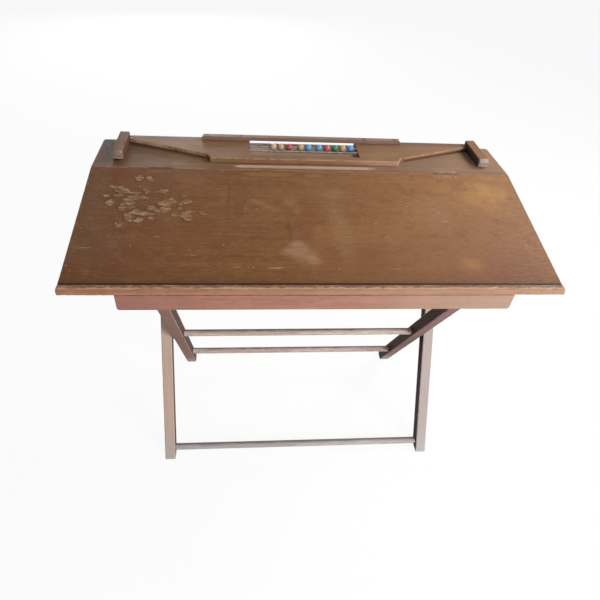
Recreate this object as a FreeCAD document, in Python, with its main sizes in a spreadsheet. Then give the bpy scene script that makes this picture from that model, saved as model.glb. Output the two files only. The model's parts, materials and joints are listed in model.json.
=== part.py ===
"""Child's folding school desk: sloping lift lid, bead gallery and crossed folding legs.

Millimetres. X runs along the desk to the right, Y towards its back and Z up.
The origin is on the floor, under the middle of the desk top.
"""
import FreeCAD, Part
import os

import Sketcher

os.makedirs("parts", exist_ok=True)
doc = FreeCAD.newDocument("folding_desk")
Vector = FreeCAD.Vector
X_AXIS = Vector(1, 0, 0)
Y_AXIS = Vector(0, 1, 0)
# Places that agree this closely are the same place
TOLERANCE = 1e-4

# Driving dimensions, one named cell each
SIZES = {
    # desk top
    "top_width": 700, "lid_depth": 252, "ledge_depth": 104, "front_height": 450, "seam_rise": 44.5,
    "board_thick": 8, "lip_depth": 11, "lip_rise": 2, "lip_round": 6.5, "seam_gap": 0.8,
    "lip_arris": 2, "ledge_corner": 6, "board_arris": 1, "groove_length": 258, "groove_width": 11,
    "groove_deep": 3, "groove_setback": 13, "groove_taper": 22,
    # box under the top
    "side_overhang": 73.5, "rail_thick": 12, "front_rail_height": 26, "rail_corner": 4, "back_overhang": 14,
    "lid_clearance": 0.3, "bottom_thick": 4, "rebate": 5, "block_side": 14, "block_height": 13,
    "batten_width": 25, "batten_thick": 7, "batten_inset": 59.5, "batten_margin": 24,
    # hinges of the lid
    "hinge_setback": 110, "hinge_length": 38, "leaf_width": 11, "leaf_thick": 1.2, "barrel_radius": 1.8,
    "hinge_pin_radius": 0.9, "barrel_clearance": 0.3, "knuckle_gap": 0.2,
    "hinge_screw_radius": 1.6, "hinge_screw_length": 6.5, "hinge_screw_pitch": 22,
    # gallery on the ledge
    "bracket_setback": 30, "bracket_width": 16, "bracket_length": 80, "bracket_height": 15,
    "bracket_round": 6,
    "gallery_thick": 8, "gallery_depth": 79, "gallery_round": 1.6, "middle_width": 334, "corner_slant": 6,
    "middle_round": 4,
    "wing_root_depth": 66, "wing_tip_depth": 14, "window_width": 190, "window_depth": 66,
    "strip_length": 360, "strip_depth": 10, "strip_height": 6.5, "strip_bevel": 3.5,
    "nail_radius": 1.1, "nail_length": 10, "nail_inset": 12, "nail_margin": 16,
    "rod_radius": 1.1, "rod_seat": 8, "rod_height": 6.6, "bead_rod_setback": 29, "spare_rod_setback": 46,
    "bead_radius": 6, "bead_bore_clearance": 0.1,
    # crossed legs
    "frame_inset": 19, "leg_thick": 19, "leg_depth": 22, "leg_arris": 1.2, "head_round": 10.5,
    "inner_foot_round": 7, "outer_foot_round": 2, "frame_gap": 3.1, "pivot_setback": 156.5,
    "pivot_height": 210, "foot_spread": 250, "fold_clearance": 1.5, "rung_radius": 6.35, "rung_seat": 13,
    "outer_rung_height": 14, "inner_rung_height": 69, "washer_radius": 10.5, "running_fit": 0.06,
    "pivot_rail_depth": 24, "pivot_rail_drop": 10, "pivot_washer_thick": 1.5, "pivot_washer_radius": 8,
    "pivot_screw_radius": 3, "pivot_screw_seat": 28, "screw_head_radius": 6.5, "screw_head_thick": 2.3,
    "head_gap": 0.3, "rest_length": 72, "rest_depth": 34, "rest_setback": 15.4, "rest_gap": 0.3,
    # reach of a cutting tool past the piece that it cuts
    "overrun": 2,
}
# Centres of the beads along their rod, as shares of half the window, left to right
BEAD_SHARES = (-0.57, -0.43, -0.28, -0.06, 0.08, 0.28, 0.435, 0.58, 0.73, 0.88)

size = doc.addObject("Spreadsheet::Sheet", "size")
for row, (alias, value) in enumerate(SIZES.items(), start=1):
    size.set(f"A{row}", alias)
    size.set(f"B{row}", str(value))
    size.setAlias(f"B{row}", alias)
doc.recompute()

# Places worked out from the driving dimensions, as expressions
front_y = "(-(size.lid_depth + size.ledge_depth) / 2)"
rear_y = "((size.lid_depth + size.ledge_depth) / 2)"
seam_y = f"({front_y} + size.lid_depth)"
seam_z = "(size.front_height + size.seam_rise)"
half_gap = "(size.seam_gap / 2)"
lid_front_y = f"({front_y} + size.lip_depth)"
lid_front_z = "(size.front_height - size.lip_rise)"
slope = "atan((size.seam_rise + size.lip_rise) / (size.lid_depth - size.lip_depth))"
lid_plumb = f"(size.board_thick / cos({slope}))"
rail_top = f"({lid_front_z} - {lid_plumb})"
box_bottom = f"({rail_top} - size.front_rail_height)"
panel_top = f"({box_bottom} + size.bottom_thick)"
ledge_bottom = f"({seam_z} - size.board_thick)"
inside_front_y = f"({front_y} + size.rail_thick)"
inside_back_y = f"({rear_y} - size.back_overhang - size.rail_thick)"
half_box = "(size.top_width / 2 - size.side_overhang)"
inside_x = f"({half_box} - size.rail_thick)"
hinge_x = "(size.top_width / 2 - size.hinge_setback)"
gallery_top = f"({seam_z} + size.gallery_thick)"
gallery_end = "(size.top_width / 2 - size.bracket_setback - size.bracket_width)"
window_front_y = f"({rear_y} - size.window_depth)"
rod_z = f"({seam_z} + size.rod_height)"
outer_x = f"({half_box} - size.frame_inset - size.leg_thick)"
inner_x = f"({outer_x} - size.frame_gap - size.leg_thick)"
lean = "atan(size.foot_spread / 2 / size.pivot_height)"
pivot_y = f"({front_y} + size.pivot_setback)"
axle_z = f"({box_bottom} - size.leg_depth / 2 - size.fold_clearance)"
axle_y = f"({pivot_y} - ({axle_z} - size.pivot_height) * tan({lean}))"
top_rung_y = f"({pivot_y} + ({axle_z} - size.pivot_height) * tan({lean}))"

pieces = []


def number(expression):
    """The present value of an expression, as a plain number."""
    value = size.evalExpression(expression)
    return float(getattr(value, "Value", value))


def piece(thing):
    """Enter an object in the list of sub-parts that are written out."""
    pieces.append(thing)
    return thing


def bind(thing, **expressions):
    """Tie properties of an object to expressions."""
    for name, expression in expressions.items():
        thing.setExpression(name, str(expression))
    return thing


def put(thing, at, turn=None):
    """Tie an object's place, and its turn about X, to expressions."""
    if turn is not None:
        thing.Placement = FreeCAD.Placement(Vector(), FreeCAD.Rotation(X_AXIS, 1))
        thing.setExpression("Placement.Rotation.Angle", turn)
    for letter, expression in zip("xyz", at):
        thing.setExpression(f"Placement.Base.{letter}", str(expression))
    return thing


def block(label, sides, at):
    """A box from its lowest corner."""
    box = doc.addObject("Part::Box", label)
    bind(box, Length=sides[0], Width=sides[1], Height=sides[2])
    return put(box, at)


def bar(label, radius, length, at):
    """A round bar along X, from its left end."""
    cylinder = doc.addObject("Part::Cylinder", label)
    bind(cylinder, Radius=radius, Height=length)
    cylinder.Placement = FreeCAD.Placement(Vector(), FreeCAD.Rotation(Y_AXIS, 90))
    return put(cylinder, at)


def pin(label, radius, length, at):
    """A round pin along Z, from its lower end."""
    cylinder = doc.addObject("Part::Cylinder", label)
    bind(cylinder, Radius=radius, Height=length)
    return put(cylinder, at)


def join(label, things):
    """Several overlapping objects made into one solid."""
    fused = doc.addObject("Part::MultiFuse", label)
    fused.Shapes = things
    fused.Refine = True
    return fused


def group(label, things):
    """Several separate solids kept in one object."""
    compound = doc.addObject("Part::Compound", label)
    compound.Links = things
    return compound


def cut(label, base, tools):
    """An object with one or more tools taken out of it."""
    result = doc.addObject("Part::Cut", label)
    result.Base = base
    result.Tool = tools[0] if len(tools) == 1 else group(f"{label}_tools", tools)
    return result


def outline_body(label, plane, corners, offset, thickness):
    """A body padded from a closed outline of straight sides on one of its origin planes."""
    body = doc.addObject("PartDesign::Body", label)
    sketch = body.newObject("Sketcher::SketchObject", f"{label}_outline")
    support = [face for face in body.Origin.OriginFeatures if face.Role == plane][0]
    sketch.AttachmentSupport = [(support, "")]
    sketch.MapMode = "FlatFace"
    sketch.setExpression("AttachmentOffset.Base.z", offset)
    points = [Vector(number(first), number(second), 0) for first, second in corners]
    count = len(points)
    for index in range(count):
        sketch.addGeometry(Part.LineSegment(points[index], points[(index + 1) % count]), False)
    for index in range(count):
        sketch.addConstraint(Sketcher.Constraint("Coincident", index, 2, (index + 1) % count, 1))
    for index, corner in enumerate(corners):
        for kind, axis, expression in zip(("DistanceX", "DistanceY"), (-2, -1), corner):
            value = number(expression)
            if value == 0:
                sketch.addConstraint(Sketcher.Constraint("PointOnObject", index, 1, axis))
            elif value > 0:
                place = sketch.addConstraint(Sketcher.Constraint(kind, -1, 1, index, 1, value))
                sketch.setExpression(f"Constraints[{place}]", expression)
            else:
                place = sketch.addConstraint(Sketcher.Constraint(kind, index, 1, -1, 1, -value))
                sketch.setExpression(f"Constraints[{place}]", f"-({expression})")
    pad = body.newObject("PartDesign::Pad", f"{label}_pad")
    pad.Profile = sketch
    pad.setExpression("Length", thickness)
    doc.recompute()
    return body


def round_edges(body, chosen, radius):
    """Round the edges of a body's last feature whose middle point is chosen."""
    feature = body.Tip
    names = []
    for index, edge in enumerate(feature.Shape.Edges, start=1):
        if chosen(edge.valueAt((edge.FirstParameter + edge.LastParameter) / 2), edge):
            names.append(f"Edge{index}")
    fillet = body.newObject("PartDesign::Fillet", f"{body.Name}_round")
    fillet.Base = (feature, names)
    fillet.setExpression("Radius", radius)
    doc.recompute()
    return body


def near(first, second):
    """Whether two places are the same."""
    return abs(first - second) < TOLERANCE


def upright(edge):
    """Whether an edge runs straight up."""
    return near(edge.BoundBox.XLength, 0) and near(edge.BoundBox.YLength, 0)


def flat(edge):
    """Whether an edge lies level."""
    return near(edge.BoundBox.ZLength, 0)


def across(edge):
    """Whether an edge lies in a plane square to X."""
    return near(edge.BoundBox.XLength, 0)


def sided(side, inner, length):
    """Left end of something that starts at a distance from the middle plane, on one side."""
    return inner if side == "right" else f"(-{inner} - {length})"


SIDES = ("left", "right")


def make_rods():
    """The bead rod and the spare rod across the window."""
    half = "(size.window_width / 2 + size.rod_seat)"
    rods = []
    for label, setback in (("bead_rod", "size.bead_rod_setback"), ("spare_rod", "size.spare_rod_setback")):
        at = (f"-{half}", f"{rear_y} - {setback}", rod_z)
        rods.append(piece(bar(label, "size.rod_radius", f"2 * {half}", at)))
    return rods


def make_gallery_board(rods, nails):
    """The shaped board on the ledge, with its window open at the back."""
    half_middle = "(size.middle_width / 2)"
    half_window = "(size.window_width / 2)"
    front = f"({rear_y} - size.gallery_depth)"
    root = f"({rear_y} - size.wing_root_depth)"
    tip = f"({rear_y} - size.wing_tip_depth)"
    right = (
        (half_window, window_front_y),
        (half_window, rear_y),
        (gallery_end, rear_y),
        (gallery_end, tip),
        (half_middle, root),
        (f"({half_middle} - size.corner_slant)", front),
    )
    left = tuple((f"(-{x})", y) for x, y in reversed(right))
    board = outline_body("gallery_board_blank", "XY_Plane", right + left, seam_z, "size.gallery_thick")
    top = number(gallery_top)
    window_y = number(window_front_y)
    back_y = number(rear_y)
    window_x = number(half_window)
    middle_y = number(front)
    round_edges(board, lambda middle, edge: upright(edge) and near(middle.y, middle_y), "size.middle_round")

    def front_arris(middle, edge):
        outside = abs(middle.x) > window_x + TOLERANCE or middle.y < window_y - TOLERANCE
        return near(middle.z, top) and middle.y < back_y - TOLERANCE and outside

    round_edges(board, front_arris, "size.gallery_round")
    return piece(cut("gallery_board", board, rods + [nails]))


def make_gallery_strip(nails):
    """The low strip that bridges the back of the window, with bevelled ends."""
    half = "(size.strip_length / 2)"
    short = f"({half} - size.strip_bevel)"
    base = gallery_top
    top = f"({base} + size.strip_height)"
    corners = ((f"(-{half})", base), (half, base), (short, top), (f"(-{short})", top))
    blank = outline_body("gallery_strip_blank", "XZ_Plane", corners, f"-{rear_y}", "size.strip_depth")
    return piece(cut("gallery_strip", blank, [nails]))


def make_gallery_nails():
    """Four nails down through the strip into the board."""
    pins = []
    for place in ("(size.strip_length / 2 - size.nail_inset)", "(size.window_width / 2 + size.nail_margin)"):
        for sign in ("-", ""):
            at = (f"{sign}{place}", f"{rear_y} - size.strip_depth / 2",
                  f"{gallery_top} + size.strip_height - size.nail_length")
            pins.append(pin("gallery_nail", "size.nail_radius", "size.nail_length", at))
    return piece(group("gallery_nails", pins))


def make_brackets():
    """The end blocks of the gallery, with rounded front ends."""
    front = f"({rear_y} - size.bracket_length)"
    top = f"({seam_z} + size.bracket_height)"
    corners = ((front, seam_z), (rear_y, seam_z), (rear_y, top), (front, top))
    for side in SIDES:
        start = sided(side, gallery_end, "size.bracket_width")
        body = outline_body(f"bracket_{side}", "YZ_Plane", corners, start, "size.bracket_width")
        front_y_value = number(front)

        def front_end(middle, edge):
            whole_width = edge.BoundBox.XLength > number("size.bracket_width") / 2
            return whole_width and near(middle.y, front_y_value)

        piece(round_edges(body, front_end, "size.bracket_round"))


def make_beads():
    """Ten bored beads on the bead rod."""
    for index, share in enumerate(BEAD_SHARES, start=1):
        label = f"bead_{index:02d}"
        place = f"({share} * size.window_width / 2)"
        y = f"{rear_y} - size.bead_rod_setback"
        ball = doc.addObject("Part::Sphere", f"{label}_ball")
        bind(ball, Radius="size.bead_radius")
        # the ball's poles lie on the rod, so that the bore takes them away
        ball.Placement = FreeCAD.Placement(Vector(), FreeCAD.Rotation(Y_AXIS, 90))
        put(ball, (place, y, rod_z))
        reach = "(size.bead_radius + size.overrun)"
        bore = bar(f"{label}_bore", "size.rod_radius + size.bead_bore_clearance", f"2 * {reach}",
                   (f"{place} - {reach}", y, rod_z))
        piece(cut(label, ball, [bore]))


def hinge_screws(label, direction):
    """Two screws in each leaf on one side of the seam, in the frame of the hinge axis."""
    pins = []
    for side in ("-", ""):
        for step in ("-", ""):
            x = f"{side}{hinge_x} {step or '+'} size.hinge_screw_pitch / 2"
            y = f"{direction} * (size.barrel_radius + size.barrel_clearance + size.leaf_width / 2)"
            pins.append(pin("hinge_screw", "size.hinge_screw_radius", "size.hinge_screw_length",
                            (x, y, "-size.hinge_screw_length")))
    return group(label, pins)


def hinge_start(side):
    """Left end of one hinge."""
    return f"({'-' if side == 'left' else ''}{hinge_x} - size.hinge_length / 2)"


def hinge_leaf(label, side, screws, direction, knuckles):
    """One leaf with its knuckles, in the frame of the hinge axis."""
    start = hinge_start(side)
    third = "(size.hinge_length / 3)"
    inner = "(size.barrel_radius + size.barrel_clearance)"
    plate_y = inner if direction > 0 else f"(-{inner} - size.leaf_width)"
    parts = [block(f"{label}_plate", ("size.hinge_length", "size.leaf_width", "size.leaf_thick"),
                   (start, plate_y, "-size.leaf_thick"))]
    for knuckle in knuckles:
        knuckle_x = f"({start} + {knuckle} * {third} + size.knuckle_gap / 2)"
        knuckle_length = f"({third} - size.knuckle_gap)"
        tab_y = "0" if direction > 0 else f"-{inner}"
        parts.append(block(f"{label}_tab", (knuckle_length, inner, "size.leaf_thick"),
                           (knuckle_x, tab_y, "-size.leaf_thick")))
        parts.append(bar(f"{label}_knuckle", "size.barrel_radius", knuckle_length, (knuckle_x, "0", "0")))
    radius = "size.hinge_pin_radius" if direction > 0 else "(size.hinge_pin_radius + size.running_fit)"
    bore = bar(f"{label}_bore", radius, "size.hinge_length + 2 * size.overrun",
               (f"{start} - size.overrun", "0", "0"))
    return cut(label, join(f"{label}_blank", parts), [bore, screws])


def hinge_recess(label, side, direction):
    """The room that one leaf and the barrel take in a board, in the frame of the hinge axis."""
    start = hinge_start(side)
    reach = "(size.barrel_radius + size.barrel_clearance + size.leaf_width)"
    bed = block(f"{label}_bed", ("size.hinge_length", reach, "size.leaf_thick + size.overrun"),
                (start, "0" if direction > 0 else f"-{reach}", "-size.leaf_thick"))
    barrel = bar(f"{label}_barrel", "size.barrel_radius + size.barrel_clearance", "size.hinge_length",
                 (start, "0", "0"))
    return join(label, [bed, barrel])


def pen_groove():
    """The round-bottomed groove for pens, which runs out at both ends."""
    radius = "(size.groove_width ^ 2 / (8 * size.groove_deep) + size.groove_deep / 2)"
    end_radius = f"({radius} - 1.25 * size.groove_deep)"
    half = "(size.groove_length / 2)"
    straight = f"({half} - size.groove_taper)"
    y = f"{seam_y} + size.groove_setback"
    z = f"{seam_z} + {radius} - size.groove_deep"
    parts = [bar("groove_middle", radius, f"2 * {straight}", (f"-{straight}", y, z))]
    for start, first, last in ((f"-{half}", end_radius, radius), (straight, radius, end_radius)):
        taper = doc.addObject("Part::Cone", "groove_end")
        bind(taper, Radius1=first, Radius2=last, Height="size.groove_taper")
        taper.Placement = FreeCAD.Placement(Vector(), FreeCAD.Rotation(Y_AXIS, 90))
        parts.append(put(taper, (start, y, z)))
    return join("pen_groove", parts)


def make_ledge():
    """The fixed back part of the top, its pen groove and its hinge leaves."""
    at = ("0", seam_y, seam_z)
    screws = piece(put(hinge_screws("hinge_ledge_screws", 1), at))
    tools = [screws]
    for side in SIDES:
        plain_screws = hinge_screws(f"hinge_ledge_{side}_screw_tool", 1)
        piece(put(hinge_leaf(f"hinge_ledge_leaf_{side}", side, plain_screws, 1, (0, 2)), at))
        tools.append(put(hinge_recess(f"ledge_recess_{side}", side, 1), at))
        piece(bar(f"hinge_pin_{side}", "size.hinge_pin_radius", "size.hinge_length",
                  (hinge_start(side), seam_y, seam_z)))
    tools.append(pen_groove())
    end = "(size.top_width / 2)"
    ledge_front = f"({seam_y} + {half_gap})"
    corners = ((f"(-{end})", ledge_front), (end, ledge_front), (end, rear_y), (f"(-{end})", rear_y))
    blank = outline_body("ledge_blank", "XY_Plane", corners, ledge_bottom, "size.board_thick")
    front = number(ledge_front)
    back = number(rear_y)
    round_edges(blank, lambda middle, edge: upright(edge) and near(middle.y, back), "size.ledge_corner")
    round_edges(blank, lambda middle, edge: flat(edge) and not near(middle.y, front), "size.board_arris")
    piece(cut("rear_ledge", blank, tools))


def make_lid():
    """The sloping lid with its front lip, battens and hinge leaves."""
    at = ("0", seam_y, seam_z)
    back_y = f"({seam_y} - {half_gap})"
    back_z = f"({seam_z} - {half_gap} * tan({slope}))"
    corners = ((lid_front_y, f"({lid_front_z} - {lid_plumb})"), (back_y, f"({back_z} - {lid_plumb})"),
               (back_y, back_z), (lid_front_y, lid_front_z))
    blank = outline_body("lid_blank", "YZ_Plane", corners, "-size.top_width / 2", "size.top_width")
    round_edges(blank, lambda middle, edge: across(edge) and not upright(edge), "size.board_arris")
    screws = piece(put(hinge_screws("hinge_lid_screws", -1), at, slope))
    tools = [screws]
    for side in SIDES:
        plain_screws = hinge_screws(f"hinge_lid_{side}_screw_tool", -1)
        piece(put(hinge_leaf(f"hinge_lid_leaf_{side}", side, plain_screws, -1, (1,)), at, slope))
        tools.append(put(hinge_recess(f"lid_recess_{side}", side, -1), at, slope))
    piece(cut("writing_lid", blank, tools))

    lip_corners = ((front_y, rail_top), (lid_front_y, rail_top), (lid_front_y, "size.front_height"),
                   (front_y, "size.front_height"))
    lip = outline_body("lid_front_lip", "YZ_Plane", lip_corners, "-size.top_width / 2", "size.top_width")
    lip_front = number(front_y)
    lip_top = number("size.front_height")
    round_edges(lip, lambda middle, edge: near(middle.y, lip_front) and near(middle.z, lip_top), "size.lip_round")
    piece(round_edges(lip, lambda middle, edge: near(middle.y, lip_front), "size.lip_arris"))

    batten_length = f"((size.lid_depth - size.lip_depth) / cos({slope}) - 2 * size.batten_margin)"
    batten_x = f"({inside_x} - size.batten_inset - size.batten_width)"
    for side in SIDES:
        batten = block(f"lid_batten_{side}_bar", ("size.batten_width", batten_length, "size.batten_thick"),
                       (sided(side, batten_x, "size.batten_width"),
                        f"(-size.batten_margin - {batten_length})",
                        "-size.board_thick - size.batten_thick"))
        piece(put(group(f"lid_batten_{side}", [batten]), at, slope))


def make_box():
    """The shallow box: four rails, the bottom and its corner blocks."""
    panel = piece(block("bottom_panel",
                        (f"2 * ({inside_x} + size.rebate)",
                         f"{inside_back_y} - {inside_front_y} + 2 * size.rebate", "size.bottom_thick"),
                        (f"-({inside_x} + size.rebate)", f"{inside_front_y} - size.rebate", box_bottom)))
    front_corners = ((f"(-{half_box})", box_bottom), (half_box, box_bottom), (half_box, rail_top),
                     (f"(-{half_box})", rail_top))
    front = outline_body("front_rail_blank", "XZ_Plane", front_corners, f"-{inside_front_y}",
                         "size.rail_thick")
    low = number(box_bottom)
    high = number(rail_top)
    face_y = number(front_y)
    round_edges(front, lambda middle, edge: flat(edge) and across(edge) and near(middle.z, low),
                "size.rail_corner")
    round_edges(front, lambda middle, edge: near(middle.y, face_y) and not near(middle.z, high),
                "size.board_arris")
    back_height = f"{ledge_bottom} - {box_bottom}"
    back = block("back_rail_blank", (f"2 * {half_box}", "size.rail_thick", back_height),
                 (f"-{half_box}", inside_back_y, box_bottom))
    piece(cut("front_rail", front, [panel]))
    piece(cut("back_rail", back, [panel]))
    corners = ((inside_front_y, box_bottom), (inside_back_y, box_bottom), (inside_back_y, ledge_bottom),
               (seam_y, ledge_bottom), (seam_y, f"({ledge_bottom} - size.lid_clearance)"),
               (inside_front_y, f"({rail_top} - size.lid_clearance)"))
    for side in SIDES:
        start = sided(side, inside_x, "size.rail_thick")
        blank = outline_body(f"side_rail_{side}_blank", "YZ_Plane", corners, start, "size.rail_thick")
        piece(cut(f"side_rail_{side}", blank, [panel]))
    blocks = []
    for side in SIDES:
        inner = f"({inside_x} - size.block_side)"
        for y in (inside_front_y, f"{inside_back_y} - size.block_side"):
            blocks.append(block("corner_block", ("size.block_side", "size.block_side", "size.block_height"),
                                (sided(side, inner, "size.block_side"), y, panel_top)))
    piece(group("corner_blocks", blocks))


def make_leg(label, side, inner, way, head_y, foot_round, bores):
    """One leg from its side view, leaning back (way 1) or forward (way -1), cut level at the floor."""
    half = "(size.leg_depth / 2)"
    tilt = f"({way} * {lean})"
    foot_y = f"({pivot_y} - size.pivot_height * tan({tilt}))"
    foot_half = f"({half} / cos({lean}))"
    end_y = f"({head_y} + {half} * sin({tilt}))"
    end_z = f"({axle_z} + {half} * cos({tilt}))"
    corners = (
        (f"({foot_y} - {foot_half})", "0"),
        (f"({foot_y} + {foot_half})", "0"),
        (f"({end_y} + {half} * cos({tilt}))", f"({end_z} - {half} * sin({tilt}))"),
        (f"({end_y} - {half} * cos({tilt}))", f"({end_z} + {half} * sin({tilt}))"),
    )
    body = outline_body(f"{label}_blank", "YZ_Plane", corners, sided(side, inner, "size.leg_thick"),
                        "size.leg_thick")
    head = number(axle_z)
    round_edges(body, lambda middle, edge: not across(edge) and near(middle.z, 0), foot_round)
    round_edges(body, lambda middle, edge: not across(edge) and middle.z > head, "size.head_round")
    round_edges(body, lambda middle, edge: across(edge), "size.leg_arris")
    piece(cut(label, body, bores))


def make_outer_frame():
    """The outer legs, which lean back, with their foot rung, top rung and washers."""
    half = f"({outer_x} + size.rung_seat)"
    foot_y = f"{pivot_y} - (size.pivot_height - size.outer_rung_height) * tan({lean})"
    foot = piece(bar("outer_foot_rung", "size.rung_radius", f"2 * {half}",
                     (f"-{half}", foot_y, "size.outer_rung_height")))
    top = piece(bar("outer_top_rung", "size.rung_radius", f"2 * {half}", (f"-{half}", top_rung_y, axle_z)))
    for side in SIDES:
        through = f"({sided(side, outer_x, 'size.leg_thick')} - size.overrun)"
        pivot = bar("outer_pivot_bore", "size.rung_radius + size.running_fit",
                    "size.leg_thick + 2 * size.overrun", (through, pivot_y, "size.pivot_height"))
        make_leg(f"outer_leg_{side}", side, outer_x, 1, top_rung_y, "size.outer_foot_round",
                 [foot, top, pivot])
    rings = []
    for side in SIDES:
        x = sided(side, f"({outer_x} - size.frame_gap)", "size.frame_gap")
        disc = bar("cross_washer_disc", "size.washer_radius", "size.frame_gap",
                   (x, pivot_y, "size.pivot_height"))
        bore = bar("cross_washer_bore", "size.rung_radius + size.running_fit",
                   "size.frame_gap + 2 * size.overrun",
                   (f"{x} - size.overrun", pivot_y, "size.pivot_height"))
        rings.append(cut("cross_washer", disc, [bore]))
    piece(group("cross_washers", rings))


def make_inner_frame():
    """The inner legs, which lean forward, with their foot rung and the rung at the cross pivot."""
    half = f"({inner_x} + size.rung_seat)"
    foot_y = f"{pivot_y} + (size.pivot_height - size.inner_rung_height) * tan({lean})"
    foot = piece(bar("inner_foot_rung", "size.rung_radius", f"2 * {half}",
                     (f"-{half}", foot_y, "size.inner_rung_height")))
    reach = f"({outer_x} + size.leg_thick)"
    pivot = piece(bar("cross_pivot_rung", "size.rung_radius", f"2 * {reach}",
                      (f"-{reach}", pivot_y, "size.pivot_height")))
    for side in SIDES:
        through = f"({sided(side, inner_x, 'size.leg_thick')} - size.overrun)"
        axle = bar("inner_axle_bore", "size.pivot_screw_radius + size.running_fit",
                   "size.leg_thick + 2 * size.overrun", (through, axle_y, axle_z))
        make_leg(f"inner_leg_{side}", side, inner_x, -1, axle_y, "size.inner_foot_round",
                 [foot, pivot, axle])


def make_leg_mounts():
    """What carries the legs under the box: the pivot rail with its screws, and the rear rests."""
    screws = []
    rings = []
    for side in SIDES:
        shank_length = "(size.pivot_screw_seat + size.pivot_washer_thick + size.leg_thick + size.head_gap)"
        shank_start = f"({inner_x} - size.pivot_washer_thick - size.pivot_screw_seat)"
        shank = bar("pivot_screw_shank", "size.pivot_screw_radius", shank_length,
                    (sided(side, shank_start, shank_length), axle_y, axle_z))
        head_start = f"({inner_x} + size.leg_thick + size.head_gap)"
        head = bar("pivot_screw_head", "size.screw_head_radius", "size.screw_head_thick",
                   (sided(side, head_start, "size.screw_head_thick"), axle_y, axle_z))
        screws.append(join("pivot_screw", [shank, head]))
        ring_x = sided(side, f"({inner_x} - size.pivot_washer_thick)", "size.pivot_washer_thick")
        disc = bar("pivot_washer_disc", "size.pivot_washer_radius", "size.pivot_washer_thick",
                   (ring_x, axle_y, axle_z))
        rings.append(cut("pivot_washer", disc, [shank]))
    screw_pair = piece(group("pivot_screws", screws))
    piece(group("pivot_washers", rings))
    half = f"({inner_x} - size.pivot_washer_thick)"
    rail_bottom = f"({axle_z} - size.pivot_rail_drop)"
    rail_height = f"{box_bottom} - {rail_bottom}"
    blank = block("pivot_rail_blank", (f"2 * {half}", "size.pivot_rail_depth", rail_height),
                  (f"-{half}", f"{axle_y} - size.pivot_rail_depth / 2", rail_bottom))
    piece(cut("pivot_rail", blank, [screw_pair]))
    rest_bottom = f"({axle_z} + size.rung_radius + size.rest_gap)"
    rest_height = f"{box_bottom} - {rest_bottom}"
    for side in SIDES:
        piece(block(f"rear_rest_{side}", ("size.rest_length", "size.rest_depth", rest_height),
                    (sided(side, f"({inner_x} - size.rest_setback - size.rest_length)", "size.rest_length"),
                     f"{top_rung_y} - size.rest_depth / 2", rest_bottom)))


make_box()
make_ledge()
make_lid()
gallery_nails = make_gallery_nails()
gallery_rods = make_rods()
make_gallery_board(gallery_rods, gallery_nails)
make_gallery_strip(gallery_nails)
make_brackets()
make_beads()
make_leg_mounts()
make_inner_frame()
make_outer_frame()
doc.recompute()

failed = [thing.Label for thing in doc.Objects if {"Invalid", "Error"} & set(thing.State)]
if failed:
    raise RuntimeError(f"these objects failed: {failed}")
for thing in pieces:
    if thing.Shape.isNull() or not thing.Shape.isValid() or not thing.Shape.Solids:
        raise RuntimeError(f"{thing.Label} has no valid solid")
for thing in pieces:
    thing.Shape.exportStep(f"parts/{thing.Label}.step")
    print(thing.Label, len(thing.Shape.Solids), round(thing.Shape.Volume, 1))
print(len(pieces), "sub-parts")
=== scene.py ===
# %% [markdown]
# # A folding school desk with a lift lid
# The desk is a sloping board over a shallow box, with a bead gallery behind it and crossed legs below.
# Its solids come from the drawing, packed in metres. This lesson dresses them as an old desk: worn stain,
# bare wood where hands and knocks took it off, tired steel and painted beads.

# %% Load the desk
import json
import math
from functools import partial

import bmesh
import bpy
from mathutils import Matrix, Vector, noise

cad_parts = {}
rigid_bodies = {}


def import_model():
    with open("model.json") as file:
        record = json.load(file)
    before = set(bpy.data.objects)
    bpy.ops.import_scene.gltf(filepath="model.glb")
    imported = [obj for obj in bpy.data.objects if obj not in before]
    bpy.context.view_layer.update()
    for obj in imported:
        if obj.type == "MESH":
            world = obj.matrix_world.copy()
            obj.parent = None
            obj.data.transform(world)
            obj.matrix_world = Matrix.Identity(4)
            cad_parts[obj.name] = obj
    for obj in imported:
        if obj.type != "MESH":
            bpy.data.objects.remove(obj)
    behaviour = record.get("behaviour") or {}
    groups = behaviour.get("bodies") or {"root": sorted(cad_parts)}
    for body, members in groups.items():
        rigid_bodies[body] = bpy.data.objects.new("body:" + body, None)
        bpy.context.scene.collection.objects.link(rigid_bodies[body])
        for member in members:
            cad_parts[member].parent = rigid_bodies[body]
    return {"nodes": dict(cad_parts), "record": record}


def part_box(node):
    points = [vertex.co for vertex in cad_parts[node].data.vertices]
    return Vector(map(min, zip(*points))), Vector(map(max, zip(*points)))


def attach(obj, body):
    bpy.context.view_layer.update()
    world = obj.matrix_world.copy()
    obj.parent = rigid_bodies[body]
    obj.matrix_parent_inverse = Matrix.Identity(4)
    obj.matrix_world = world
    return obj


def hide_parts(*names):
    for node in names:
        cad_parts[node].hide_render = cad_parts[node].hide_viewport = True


for thing in list(bpy.data.objects):
    bpy.data.objects.remove(thing)
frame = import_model()
nodes = frame["nodes"]
members_of = frame["record"]["behaviour"]["bodies"]
body_of = {node: body for body, members in members_of.items() for node in members}
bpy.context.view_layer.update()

# %% [markdown]
# ## Where the camera stands
# The photograph looks down on the writing edge from a little left of the middle. A camera could be nudged
# by eye until the picture agrees. Here the lens and place were worked out from the straight edges of the
# lid and the feet, so that the desk falls on the same part of the picture.

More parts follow.
